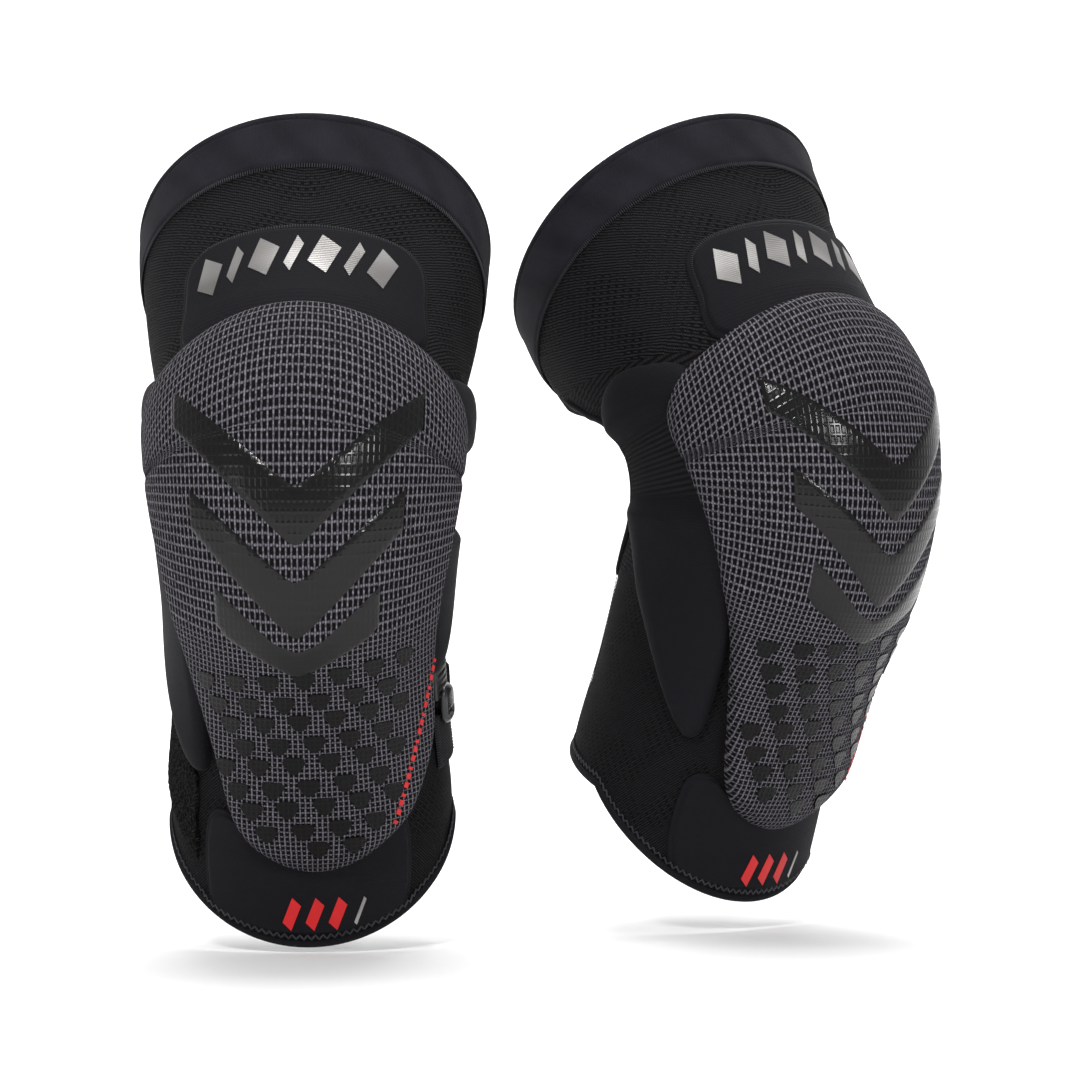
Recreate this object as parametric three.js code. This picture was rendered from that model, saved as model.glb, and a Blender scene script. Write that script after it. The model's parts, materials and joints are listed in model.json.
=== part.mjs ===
// A pair of soft knee guards: a knitted sleeve with a moulded knee pad, side wings and a hooked calf strap each.
// Millimetres and degrees. +Z is up and -Y is the front. The origin is the knee centre of the left guard.
//
// Every piece is a slab laid on the leg, and a place on the leg is given by three numbers:
//   phi  the angle round the leg from the front, positive towards +X
//   s    the distance along the bent centreline from the knee, positive up the thigh and negative down the shin
//   h    the height above the skin
import * as THREE from 'three';
import { mergeVertices } from 'three/addons/utils/BufferGeometryUtils.js';

// ---- The pair ----
const GUARD_SPACING = 212;
const SECOND_GUARD_SETBACK = 111;
const SECOND_GUARD_LIFT = 11;
const SECOND_GUARD_YAW = 39;

// ---- How the leg is bent at rest: the lean of its thigh and of its shin from upright ----
const THIGH_LEAN = 33;
const SHIN_LEAN = 17;
const BEND_RADIUS = 100;

// ---- The leg: half widths, front depths and back depths ----
const CUFF_SIDE = 80;
const KNEE_SIDE = 64;
const CALF_SIDE = 59;
const CUFF_FRONT = 77;
const KNEE_FRONT = 84;
const CALF_FRONT = 51;
const CUFF_BACK = 84;
const KNEE_BACK = 62;
const CALF_BACK = 60;

// ---- How far the sleeve runs along the leg ----
const RIM_S = 129;
const HEM_S = -160;
const RIM_SLANT = 16;
const HEM_SLANT = 42;
const HEM_BACK_SLANT = 7;
const CUFF_BAND = 28;
const BINDING_WIDTH = 4;
const GRIPPER_WIDTH = 15;
const GRIPPER_INSET = 7;
const KNEE_ZONE = 48;
const KNEE_ZONE_SLANT = 28;
const BACK_SEAM_PHI = 132;
const KNEE_OPEN_PHI = 102;

// ---- Thicknesses ----
const KNIT = 1.2;
const CUFF_FABRIC = 2.2;
const BINDING = 3;
const GRIPPER = 0.8;
const NEOPRENE = 2.4;
const BADGE = 0.8;
const KNEE_FOAM = 11;
const SHIN_FOAM = 9;
const PAD_EDGE = 2.4;
const WING_FOAM = 6;
const COVER = 1.4;
const STRAP_FABRIC = 1.8;
const LADDER_RUBBER = 2.4;
const HOOK_PLASTIC = 2.8;
const TAIL_FABRIC = 1.6;

// ---- Clearances ----
const GAP = 0.6;
const SEAM_GAP = 0.8;
const LAYER_GAP = 1;
const PAD_STANDOFF = 3.2;
const SEAM_PHI_GAP = 0.5;

// ---- The pad, its panels and wings ----
const PAD_TOP_S = 40;
const PAD_BOTTOM_S = -165;
const PAD_PHI = 76;
const PAD_SEAM_S = 5;
const PAD_SEAM_DROP = 9;
const PAD_END_TAPER = 30;
const UPPER_PANEL_TOP_S = 84;
const UPPER_PANEL_PHI = 46;
const LOWER_PANEL_PHI = 46;
const PANEL_TO_PAD = 4;
const PANEL_TO_HEM = 3;
const BADGE_FROM_PHI = -38;
const BADGE_TO_PHI = 30;
const BADGE_DROP = 13;
const BADGE_WIDTH = 14;

// ---- The calf strap, its hook and its tail ----
const STRAP_S = -102;
const STRAP_WIDTH = 40;
const STRAP_END_PHI = 92;
const STRAP_DROP = 44;
const STRAP_DROP_PHI = 100;
const STRAP_START_PHI = -50;
const SHORT_STRAP_START_PHI = -180;
const WEBBING_WIDTH = 24;
const WEBBING_FRONT_PHI = 66;
const HOOK_FRONT_PHI = 70;
const HOOK_SPAN_PHI = 14;
const HOOK_LENGTH = 18;
const HOOK_OVERLAP = 5;
const LADDER_LENGTH = 16;
const TAIL_FRONT_PHI = 104;
const TAIL_SPAN_PHI = 36;
const TAIL_WIDTH = 26;

// ---- Fineness of the slabs ----
const FULL_TURN = 360;
const ROUND_STEP = 12;

// ---- Colours and finishes ----
const MESH_KNIT = { color: 0x17171b, roughness: 0.95 };
const RIBBED_KNIT = { color: 0x121216, roughness: 0.95 };
const CUFF_ELASTIC = { color: 0x1b1c24, roughness: 0.8 };
const NEOPRENE_SKIN = { color: 0x15161c, roughness: 0.9 };
const PAD_KNIT = { color: 0x3a3a40, roughness: 0.95 };
const FOAM = { color: 0x6f7278, roughness: 1 };
const SILICONE = { color: 0x2a2a30, roughness: 0.5 };
const SILVER_PRINT = { color: 0xb9b4b0, roughness: 0.35, metalness: 0.5 };
const LOOP_FABRIC = { color: 0x1d1d20, roughness: 1 };
const WEBBING = { color: 0x26272b, roughness: 0.9 };
const BLACK_RUBBER = { color: 0x0d0d0f, roughness: 0.5 };
const GREY_PLASTIC = { color: 0x303236, roughness: 0.35 };

const radians = THREE.MathUtils.degToRad;
const clamp = THREE.MathUtils.clamp;
const lerp = THREE.MathUtils.lerp;
const smoothstep = THREE.MathUtils.smoothstep;
const sideways = (phi) => Math.sin(radians(phi));
const frontwards = (phi) => Math.cos(radians(phi));
const level = (value) => () => value;

// ---------------------------------------------------------------- the leg surface

// The centreline is two straight lines through the knee joined by one arc, and it lies in the YZ plane.
function centreline(s) {
  const bend = radians(THIGH_LEAN + SHIN_LEAN);
  const middleFacing = Math.PI - radians(THIGH_LEAN - SHIN_LEAN) / 2;
  const centreDepth = BEND_RADIUS / Math.cos(bend / 2);
  const halfArc = BEND_RADIUS * bend / 2;
  const onArc = clamp(s, -halfArc, halfArc);
  const past = s - onArc;
  const facing = middleFacing - onArc / BEND_RADIUS;
  const frontY = Math.cos(facing);
  const frontZ = Math.sin(facing);
  return {
    y: BEND_RADIUS * frontY - centreDepth * Math.cos(middleFacing) + past * frontZ,
    z: BEND_RADIUS * frontZ - centreDepth * Math.sin(middleFacing) - past * frontY,
    frontY,
    frontZ,
  };
}

// The leg is slim below the knee and widens again over the calf.
const GIRTHS = [
  { s: -215, side: CALF_SIDE + 2, front: CALF_FRONT, back: CALF_BACK - 2 },
  { s: -150, side: CALF_SIDE + 4, front: CALF_FRONT, back: CALF_BACK },
  { s: -100, side: CALF_SIDE, front: CALF_FRONT + 8, back: CALF_BACK - 4 },
  { s: -50, side: CALF_SIDE - 1, front: KNEE_FRONT - 7, back: KNEE_BACK - 6 },
  { s: 0, side: KNEE_SIDE, front: KNEE_FRONT, back: KNEE_BACK },
  { s: 50, side: KNEE_SIDE + 6, front: CUFF_FRONT, back: KNEE_BACK + 12 },
  { s: 95, side: CUFF_SIDE - 3, front: CUFF_FRONT - 4, back: CUFF_BACK },
  { s: 150, side: CUFF_SIDE, front: CUFF_FRONT, back: CUFF_BACK },
];

// A smooth curve through one column of the girths, with Catmull-Rom slopes.
function girth(s, column) {
  const last = GIRTHS.length - 1;
  const at = clamp(s, GIRTHS[0].s, GIRTHS[last].s);
  const i = Math.min(GIRTHS.findIndex((row, k) => k === last || at <= GIRTHS[k + 1].s), last - 1);
  const slope = (k) => {
    const before = GIRTHS[Math.max(k - 1, 0)];
    const after = GIRTHS[Math.min(k + 1, last)];
    return (after[column] - before[column]) / (after.s - before.s);
  };
  const width = GIRTHS[i + 1].s - GIRTHS[i].s;
  const t = (at - GIRTHS[i].s) / width;
  const ease = t * t * (3 - 2 * t);
  return lerp(GIRTHS[i][column], GIRTHS[i + 1][column], ease)
    + width * t * (1 - t) * ((1 - t) * slope(i) - t * slope(i + 1));
}

function onLeg(phi, s, h) {
  const line = centreline(s);
  const depth = girth(s, frontwards(phi) >= 0 ? 'front' : 'back');
  const forward = (depth + h) * frontwards(phi);
  return new THREE.Vector3(
    (girth(s, 'side') + h) * sideways(phi),
    line.y + forward * line.frontY,
    line.z + forward * line.frontZ,
  );
}

// ---------------------------------------------------------------- slabs
// A slab is a plain closed shape and the rule that gives each of its points a place [phi, s, h] on the leg.

// A strip of the sleeve between two angles and two lines.
function panel({ from, to, low, high, inner, outer, across, along }) {
  const shape = new THREE.BoxGeometry(1, 1, 1, across, along, 1);
  const place = (v) => {
    const t = v.y + 0.5;
    const phi = lerp(from(t), to(t), v.x + 0.5);
    const s = lerp(low(phi), high(phi), t);
    return [phi, s, v.z < 0 ? inner : outer];
  };
  return { shape, place };
}

// A closed ring round the whole leg.
function band({ low, high, inner, outer }) {
  const corners = [[1, 0], [2, 0], [2, 1], [1, 1], [1, 0]];
  const profile = corners.map(([x, y]) => new THREE.Vector2(x, y));
  const shape = new THREE.LatheGeometry(profile, FULL_TURN / ROUND_STEP);
  const place = (v) => {
    const phi = THREE.MathUtils.radToDeg(Math.atan2(v.x, v.z));
    return [phi, lerp(low(phi), high(phi), v.y), lerp(inner, outer, Math.hypot(v.x, v.z) - 1)];
  };
  return { shape, place };
}

// A disc of rings and spokes with two faces, y from 0 to 1, whose faces are split into the same triangles.
function ringedDisc(rings, spokes) {
  const places = [];
  const faces = [];
  const onFace = 1 + rings * spokes;
  for (const y of [0, 1]) {
    places.push(0, y, 0);
    for (let ring = 1; ring <= rings; ring += 1) {
      for (let spoke = 0; spoke < spokes; spoke += 1) {
        const turn = 2 * Math.PI * spoke / spokes;
        places.push(ring / rings * Math.sin(turn), y, ring / rings * Math.cos(turn));
      }
    }
  }
  const at = (ring, spoke) => (ring === 0 ? 0 : 1 + (ring - 1) * spokes + spoke % spokes);
  for (let spoke = 0; spoke < spokes; spoke += 1) {
    for (let ring = 0; ring < rings; ring += 1) {
      const corners = [at(ring, spoke), at(ring + 1, spoke), at(ring + 1, spoke + 1), at(ring, spoke + 1)];
      const halves = [[corners[0], corners[1], corners[2]], [corners[0], corners[2], corners[3]]];
      for (const [a, b, c] of ring === 0 ? halves.slice(0, 1) : halves) {
        faces.push(a + onFace, b + onFace, c + onFace, a, c, b);
      }
    }
    const near = at(rings, spoke);
    const far = at(rings, spoke + 1);
    faces.push(near, far, far + onFace, near, far + onFace, near + onFace);
  }
  const disc = new THREE.BufferGeometry();
  disc.setAttribute('position', new THREE.Float32BufferAttribute(places, 3));
  disc.setIndex(faces);
  return disc;
}

// A patch with a rounded outline, given as [phi, s] points, filled in rings about its middle.
function patch({ outline, middle, inner, outer, spokes, rings }) {
  const edge = new THREE.CatmullRomCurve3(outline.map(([phi, s]) => new THREE.Vector3(phi, s, 0)), true);
  const shape = ringedDisc(rings, spokes);
  const place = (v) => {
    const turn = Math.atan2(v.x, v.z) / (2 * Math.PI);
    const rim = edge.getPointAt((turn + 1) % 1);
    const reach = Math.min(Math.hypot(v.x, v.z), 1);
    const phi = lerp(middle[0], rim.x, reach);
    const s = lerp(middle[1], rim.y, reach);
    return [phi, s, v.y < 0.5 ? inner(phi, s, reach) : outer(phi, s, reach)];
  };
  return { shape, place };
}

function laidOnLeg({ shape, place }) {
  shape.deleteAttribute('normal');
  shape.deleteAttribute('uv');
  const places = shape.getAttribute('position');
  const vertex = new THREE.Vector3();
  for (let i = 0; i < places.count; i += 1) {
    const [phi, s, h] = place(vertex.fromBufferAttribute(places, i));
    const moved = onLeg(phi, s, h);
    places.setXYZ(i, moved.x, moved.y, moved.z);
  }
  const solid = mergeVertices(shape, 1e-3);
  faceOutward(solid);
  solid.computeVertexNormals();
  return solid;
}

// Turns every face round if the closed surface is inside out, which its enclosed volume tells.
function faceOutward(solid) {
  const places = solid.getAttribute('position');
  const index = solid.getIndex();
  const [a, b, c] = [0, 1, 2].map(() => new THREE.Vector3());
  let volume = 0;
  for (let i = 0; i < index.count; i += 3) {
    a.fromBufferAttribute(places, index.getX(i));
    b.fromBufferAttribute(places, index.getX(i + 1));
    c.fromBufferAttribute(places, index.getX(i + 2));
    volume += a.dot(b.cross(c));
  }
  if (volume < 0) index.array.reverse();
}

// ---------------------------------------------------------------- lines on the leg

const rimLine = (phi) => RIM_S + RIM_SLANT * frontwards(phi);
const hemLine = (phi) => HEM_S - (frontwards(phi) > 0 ? HEM_SLANT : HEM_BACK_SLANT) * frontwards(phi);
const cuffSeam = (phi) => rimLine(phi) - CUFF_BAND;
const sleeveBottom = (phi) => hemLine(phi) + BINDING_WIDTH + SEAM_GAP;
const kneeZone = (phi) => KNEE_ZONE - KNEE_ZONE_SLANT * frontwards(phi);
const kneeOpening = (t) => lerp(KNEE_OPEN_PHI, BACK_SEAM_PHI, (2 * t - 1) ** 2);
const padSeam = (phi) => PAD_SEAM_S - PAD_SEAM_DROP * (phi / PAD_PHI) ** 2;

// The foam swells from its thin edge to full height, over both the knee and the shin pad.
function padSwell(phi, s) {
  const acrossPad = 1 - Math.min(Math.abs(phi) / (PAD_PHI + 4), 1) ** 4;
  const nearTop = smoothstep(PAD_TOP_S - s, -4, PAD_END_TAPER);
  const nearBottom = smoothstep(s - PAD_BOTTOM_S, -4, PAD_END_TAPER);
  const peak = lerp(SHIN_FOAM, KNEE_FOAM, smoothstep(s, -60, 0));
  return (peak - PAD_EDGE) * acrossPad * nearTop * nearBottom;
}

// ---------------------------------------------------------------- the pieces of one guard

function makeGuard(side, strapStart) {
  const guard = new THREE.Group();
  const add = (name, slab, finish) => {
    const material = new THREE.MeshStandardMaterial({ metalness: 0, ...finish });
    const piece = new THREE.Mesh(laidOnLeg(slab), material);
    piece.name = `${side}_${name}`;
    guard.add(piece);
  };
  addSleeve(add);
  addBands(add);
  addFrontPanels(add);
  addPads(add);
  addWings(add);
  addStrap(add, strapStart);
  return guard;
}

function addSleeve(add) {
  const knit = { inner: 0, outer: KNIT };
  const thigh = {
    ...knit,
    low: (phi) => kneeZone(phi) + SEAM_GAP / 2,
    high: (phi) => cuffSeam(phi) - SEAM_GAP / 2,
    along: 3,
  };
  const calf = {
    ...knit,
    low: sleeveBottom,
    high: (phi) => -kneeZone(phi) - SEAM_GAP / 2,
    along: 5,
  };
  const front = {
    from: level(-BACK_SEAM_PHI),
    to: level(BACK_SEAM_PHI),
    across: 2 * BACK_SEAM_PHI / ROUND_STEP,
  };
  const back = {
    from: level(BACK_SEAM_PHI + SEAM_PHI_GAP),
    to: level(FULL_TURN - BACK_SEAM_PHI - SEAM_PHI_GAP),
    across: 8,
  };
  add('thigh_mesh_panel', panel({ ...thigh, ...front }), MESH_KNIT);
  add('thigh_back_panel', panel({ ...thigh, ...back }), RIBBED_KNIT);
  add('calf_mesh_panel', panel({ ...calf, ...front }), MESH_KNIT);
  add('calf_back_panel', panel({ ...calf, ...back }), RIBBED_KNIT);
  add('knee_stretch_panel', panel({
    ...knit,
    from: (t) => -kneeOpening(t),
    to: kneeOpening,
    low: (phi) => -kneeZone(phi) + SEAM_GAP / 2,
    high: (phi) => kneeZone(phi) - SEAM_GAP / 2,
    across: 20,
    along: 4,
  }), RIBBED_KNIT);
}

function addBands(add) {
  const binding = { inner: 0, outer: BINDING };
  const gripper = { inner: -GAP - GRIPPER, outer: -GAP };
  add('top_cuff', band({
    inner: 0,
    outer: CUFF_FABRIC,
    low: (phi) => cuffSeam(phi) + SEAM_GAP / 2,
    high: (phi) => rimLine(phi) - BINDING_WIDTH - SEAM_GAP,
  }), CUFF_ELASTIC);
  add('cuff_binding', band({
    ...binding,
    low: (phi) => rimLine(phi) - BINDING_WIDTH,
    high: rimLine,
  }), CUFF_ELASTIC);
  add('cuff_gripper', band({
    ...gripper,
    low: (phi) => rimLine(phi) - GRIPPER_INSET - GRIPPER_WIDTH,
    high: (phi) => rimLine(phi) - GRIPPER_INSET,
  }), SILICONE);
  add('hem_binding', band({
    ...binding,
    low: hemLine,
    high: (phi) => hemLine(phi) + BINDING_WIDTH,
  }), NEOPRENE_SKIN);
  add('hem_gripper', band({
    ...gripper,
    low: (phi) => hemLine(phi) + GRIPPER_INSET,
    high: (phi) => hemLine(phi) + GRIPPER_INSET + GRIPPER_WIDTH,
  }), SILICONE);
}

function addFrontPanels(add) {
  const base = KNIT + LAYER_GAP;
  const skin = { inner: base, outer: base + NEOPRENE, across: 8, along: 3 };
  const badgeBase = base + NEOPRENE + GAP;
  add('upper_front_panel', panel({
    ...skin,
    from: level(-UPPER_PANEL_PHI),
    to: level(UPPER_PANEL_PHI),
    low: (phi) => PAD_TOP_S + PANEL_TO_PAD - 8 * (phi / UPPER_PANEL_PHI) ** 2,
    high: (phi) => UPPER_PANEL_TOP_S - 6 * (phi / UPPER_PANEL_PHI) ** 2,
  }), NEOPRENE_SKIN);
  add('upper_badge', panel({
    inner: badgeBase,
    outer: badgeBase + BADGE,
    from: level(BADGE_FROM_PHI),
    to: level(BADGE_TO_PHI),
    low: level(UPPER_PANEL_TOP_S - BADGE_DROP - BADGE_WIDTH),
    high: level(UPPER_PANEL_TOP_S - BADGE_DROP),
    across: 6,
    along: 1,
  }), SILVER_PRINT);
  add('lower_front_panel', panel({
    ...skin,
    from: level(-LOWER_PANEL_PHI),
    to: level(LOWER_PANEL_PHI),
    low: (phi) => sleeveBottom(phi) + PANEL_TO_HEM,
    high: (phi) => PAD_BOTTOM_S - PANEL_TO_PAD + 14 * (phi / LOWER_PANEL_PHI) ** 2,
  }), NEOPRENE_SKIN);
}

// The outline of the knee cup, from its seam with the shin plate up over the top.
function kneeOutline() {
  const seam = [PAD_PHI - 2, PAD_PHI - 16, PAD_PHI - 46, 0, 46 - PAD_PHI, 16 - PAD_PHI, 2 - PAD_PHI];
  const top = [[0, 28], [8, 14], [26, 7], [50, 2]].map(([inset, drop]) => [PAD_PHI - inset, PAD_TOP_S - drop]);
  return [
    ...seam.map((phi) => [phi, padSeam(phi) + SEAM_GAP]),
    ...top.map(([phi, s]) => [-phi, s]),
    [0, PAD_TOP_S],
    ...top.reverse(),
  ];
}

// The outline of the shin plate, which leans a little towards +X and ends in a round tip.
function shinOutline() {
  const seam = [3 - PAD_PHI, 21 - PAD_PHI, 48 - PAD_PHI, 0, PAD_PHI - 48, PAD_PHI - 21, PAD_PHI - 3];
  const farEdge = [[13, 123], [17, 90], [20, 60], [29, 37], [39, 20], [55, 5]];
  const nearEdge = [[62, 6], [51, 20], [41, 55], [30, 90], [17, 125]];
  return [
    ...seam.map((phi) => [phi, padSeam(phi) - SEAM_GAP]),
    [PAD_PHI - 6, PAD_SEAM_S - 25],
    ...farEdge.map(([inset, rise]) => [PAD_PHI - inset, PAD_BOTTOM_S + rise]),
    [3, PAD_BOTTOM_S],
    ...nearEdge.map(([inset, rise]) => [inset - PAD_PHI, PAD_BOTTOM_S + rise]),
    [6 - PAD_PHI, PAD_SEAM_S - 25],
  ];
}

function addPads(add) {
  const base = KNIT + PAD_STANDOFF;
  const foamTop = (phi, s) => base + PAD_EDGE + padSwell(phi, s);
  const foam = { inner: level(base), outer: foamTop };
  const cover = {
    inner: (phi, s) => foamTop(phi, s) + GAP,
    outer: (phi, s) => foamTop(phi, s) + GAP + COVER,
  };
  const knee = { outline: kneeOutline(), middle: [0, 20], spokes: 28, rings: 3 };
  const shin = { outline: shinOutline(), middle: [6, -72], spokes: 28, rings: 5 };
  add('knee_foam', patch({ ...knee, ...foam }), FOAM);
  add('knee_cover', patch({ ...knee, ...cover }), PAD_KNIT);
  add('shin_foam', patch({ ...shin, ...foam }), FOAM);
  add('shin_cover', patch({ ...shin, ...cover }), PAD_KNIT);
}

// A wing on the thigh and a wing on the calf, at each side. The near lower wing runs further down the pad.
// Their outlines are measured round the leg from the side edge of the pad.
function addWings(add) {
  const base = KNIT + LAYER_GAP + GAP;
  const swell = (reach) => base + PAD_EDGE + (WING_FOAM - PAD_EDGE) * (1 - reach ** 3);
  const foam = { inner: level(base), outer: (phi, s, reach) => swell(reach) };
  const cover = {
    inner: (phi, s, reach) => swell(reach) + GAP,
    outer: (phi, s, reach) => swell(reach) + GAP + COVER,
  };
  const upper = [[6, 32], [12, 41], [22, 38], [30, 29], [30, 19], [19, 15], [7, 17]];
  const farLower = [[1, -16], [16, -15], [29, -21], [26, -38], [14, -58], [0, -72], [-9, -76], [-8, -56], [-4, -35]];
  const nearLower = [
    [1, -16], [16, -15], [29, -21], [26, -38], [12, -64], [-6, -90], [-22, -112], [-32, -112], [-26, -90],
    [-15, -62], [-5, -38],
  ];
  const wings = [
    ['near_upper', -1, upper, [19, 27]],
    ['far_upper', 1, upper, [19, 27]],
    ['near_lower', -1, nearLower, [0, -60]],
    ['far_lower', 1, farLower, [10, -42]],
  ];
  for (const [name, hand, outline, middle] of wings) {
    const besidePad = ([inset, s]) => [hand * (PAD_PHI + inset), s];
    const shape = { outline: outline.map(besidePad), middle: besidePad(middle), spokes: 16, rings: 2 };
    add(`${name}_wing_foam`, patch({ ...shape, ...foam }), FOAM);
    add(`${name}_wing_cover`, patch({ ...shape, ...cover }), NEOPRENE_SKIN);
  }
}

// The strap climbs from beside the pad, goes round the back of the calf and ends in webbing with a hook.
function addStrap(add, strapStart) {
  const base = KNIT + LAYER_GAP;
  const top = base + STRAP_FABRIC;
  const above = top + LAYER_GAP;
  const strapMiddle = (phi) => {
    const fall = clamp((phi + STRAP_DROP_PHI) / (STRAP_DROP_PHI + STRAP_START_PHI), 0, 1);
    return STRAP_S - STRAP_DROP * fall;
  };
  const strapEnd = STRAP_END_PHI - FULL_TURN;
  add('calf_strap', panel({
    from: level(strapStart),
    to: level(strapEnd),
    low: (phi) => strapMiddle(phi) - STRAP_WIDTH / 2,
    high: (phi) => strapMiddle(phi) + STRAP_WIDTH / 2,
    inner: base,
    outer: top,
    across: Math.ceil((strapStart - strapEnd) / ROUND_STEP),
    along: 2,
  }), LOOP_FABRIC);

  const webbingTop = STRAP_S;
  const hookFoot = webbingTop - HOOK_OVERLAP;
  const hookTip = hookFoot + HOOK_LENGTH;
  const hook = { from: level(HOOK_FRONT_PHI), to: level(HOOK_FRONT_PHI + HOOK_SPAN_PHI) };
  add('strap_webbing', panel({
    from: level(WEBBING_FRONT_PHI),
    to: level(STRAP_END_PHI - SEAM_PHI_GAP),
    low: level(webbingTop - WEBBING_WIDTH),
    high: level(webbingTop),
    inner: base,
    outer: top,
    across: 2,
    along: 2,
  }), WEBBING);
  add('hook_ladder', panel({
    ...hook,
    low: level(hookTip - HOOK_OVERLAP),
    high: level(hookTip - HOOK_OVERLAP + LADDER_LENGTH),
    inner: base,
    outer: base + LADDER_RUBBER,
    across: 2,
    along: 2,
  }), BLACK_RUBBER);
  add('strap_hook', panel({
    ...hook,
    low: level(hookFoot),
    high: level(hookTip),
    inner: above,
    outer: above + HOOK_PLASTIC,
    across: 2,
    along: 2,
  }), GREY_PLASTIC);
  add('strap_tail', panel({
    from: level(TAIL_FRONT_PHI),
    to: level(TAIL_FRONT_PHI + TAIL_SPAN_PHI),
    low: level(STRAP_S - TAIL_WIDTH / 2),
    high: level(STRAP_S + TAIL_WIDTH / 2),
    inner: above,
    outer: above + TAIL_FABRIC,
    across: 4,
    along: 1,
  }), WEBBING);
}

const leftGuard = makeGuard('left', STRAP_START_PHI);
const rightGuard = makeGuard('right', SHORT_STRAP_START_PHI);
rightGuard.position.set(GUARD_SPACING, SECOND_GUARD_SETBACK, SECOND_GUARD_LIFT);
rightGuard.rotation.z = radians(SECOND_GUARD_YAW);

const pair = new THREE.Group();
pair.add(leftGuard, rightGuard);

export default pair;
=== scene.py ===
import json
import math

import bmesh
import bpy
from mathutils import Matrix, Vector
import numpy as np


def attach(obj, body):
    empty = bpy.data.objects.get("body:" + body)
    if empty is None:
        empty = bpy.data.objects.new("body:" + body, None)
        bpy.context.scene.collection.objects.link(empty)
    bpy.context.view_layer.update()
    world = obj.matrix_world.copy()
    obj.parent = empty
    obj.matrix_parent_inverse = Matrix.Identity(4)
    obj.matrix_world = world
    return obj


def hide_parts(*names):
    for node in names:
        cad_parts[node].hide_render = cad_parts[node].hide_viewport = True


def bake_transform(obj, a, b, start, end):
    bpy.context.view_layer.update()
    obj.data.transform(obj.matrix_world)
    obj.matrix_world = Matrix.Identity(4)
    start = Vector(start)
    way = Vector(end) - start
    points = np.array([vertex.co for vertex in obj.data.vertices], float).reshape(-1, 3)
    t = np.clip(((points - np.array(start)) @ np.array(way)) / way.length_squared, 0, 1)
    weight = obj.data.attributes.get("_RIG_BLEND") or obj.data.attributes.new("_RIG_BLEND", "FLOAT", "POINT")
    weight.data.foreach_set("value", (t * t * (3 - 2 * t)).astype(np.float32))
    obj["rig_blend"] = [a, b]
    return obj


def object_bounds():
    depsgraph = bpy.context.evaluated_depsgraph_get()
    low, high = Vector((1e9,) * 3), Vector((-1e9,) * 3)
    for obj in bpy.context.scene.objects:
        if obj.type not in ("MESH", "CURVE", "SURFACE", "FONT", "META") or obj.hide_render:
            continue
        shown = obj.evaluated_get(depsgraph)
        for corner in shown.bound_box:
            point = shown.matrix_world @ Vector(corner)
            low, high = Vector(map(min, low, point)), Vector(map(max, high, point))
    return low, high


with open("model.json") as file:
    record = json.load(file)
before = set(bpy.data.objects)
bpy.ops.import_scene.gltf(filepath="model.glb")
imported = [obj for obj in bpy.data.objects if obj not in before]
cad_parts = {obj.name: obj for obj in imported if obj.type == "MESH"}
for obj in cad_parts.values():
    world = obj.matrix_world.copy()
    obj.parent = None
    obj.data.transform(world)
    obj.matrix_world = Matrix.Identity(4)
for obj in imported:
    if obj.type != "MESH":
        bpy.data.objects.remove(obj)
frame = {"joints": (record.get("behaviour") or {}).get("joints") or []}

cad_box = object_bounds()

# A pair of soft knee guards. Sizes are in millimetres and become metres at the end of each shape.
# A place on the leg is given by phi, the angle round it from the front in degrees, by s, the distance along
# the bent centreline from the knee, and by h, the height above the skin.
MM = 0.001
WELD, CORD_WELD = 0.000002, 0.00001  # vertices nearer than this, in metres, become one
RING_CROWDING = 1.7

# ---- The bent leg ----
THIGH_LEAN = 33
SHIN_LEAN = 17
BEND_RADIUS = 100
CUFF_SIDE, KNEE_SIDE, CALF_SIDE = 80, 64, 59
CUFF_FRONT, KNEE_FRONT, CALF_FRONT = 77, 84, 51
CUFF_BACK, KNEE_BACK, CALF_BACK = 84, 62, 60

# ---- The sleeve ----
RIM_S, RIM_SLANT = 129, 16
HEM_S, HEM_SLANT, HEM_BACK_SLANT = -160, 42, 7
CUFF_BAND = 28
BINDING_WIDTH = 4
GRIPPER_WIDTH, GRIPPER_INSET = 15, 7
KNEE_ZONE, KNEE_ZONE_SLANT = 48, 28
BACK_SEAM_PHI = 132
KNEE_OPEN_PHI = 102
SEAM_OVERLAP = 3
RIPPLE = 0.5
KNIT = 1.2
CUFF_FABRIC = 2.2
NEOPRENE = 2.6

# ---- The pad ----
PAD_TOP_S, PAD_BOTTOM_S = 40, -165
PAD_PHI = 76
PAD_SEAM_S, PAD_SEAM_DROP = 5, 9
PAD_END_TAPER = 30
KNEE_SWELL, SHIN_SWELL = 8.6, 6.6
PAD_EDGE_HEIGHT = 8.8
PAD_ROLL = 9
PAD_MIDDLE = (2, -46)
DART_DEPTH, DART_WIDTH = 1.3, 1.5
FOAM_SHARE = 0.97

# ---- The front panels ----
PANEL_TOP_S = 84
PANEL_PHI = 46

# ---- The strap ----
STRAP_S, STRAP_WIDTH = -102, 40
STRAP_END_PHI = 92
STRAP_DROP, STRAP_DROP_PHI = 44, 100
STRAP_STARTS = {"left": -50, "right": -180}
WEBBING_WIDTH, WEBBING_FRONT_PHI = 24, 66
HOOK_FRONT_PHI, HOOK_SPAN_PHI = 70, 14
HOOK_LENGTH, HOOK_OVERLAP = 18, 5
LADDER_LENGTH = 16
TAIL_FRONT_PHI, TAIL_SPAN_PHI, TAIL_WIDTH = 104, 36, 26
TAIL_ROOT_PHI = 98

STRAP_RISE = 2.6

# ---- The wings ----
WING_WAIST = (-17, 15)
WING_MIDDLE = (82, -20)
FOAM_BASE = 1.8

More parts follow.
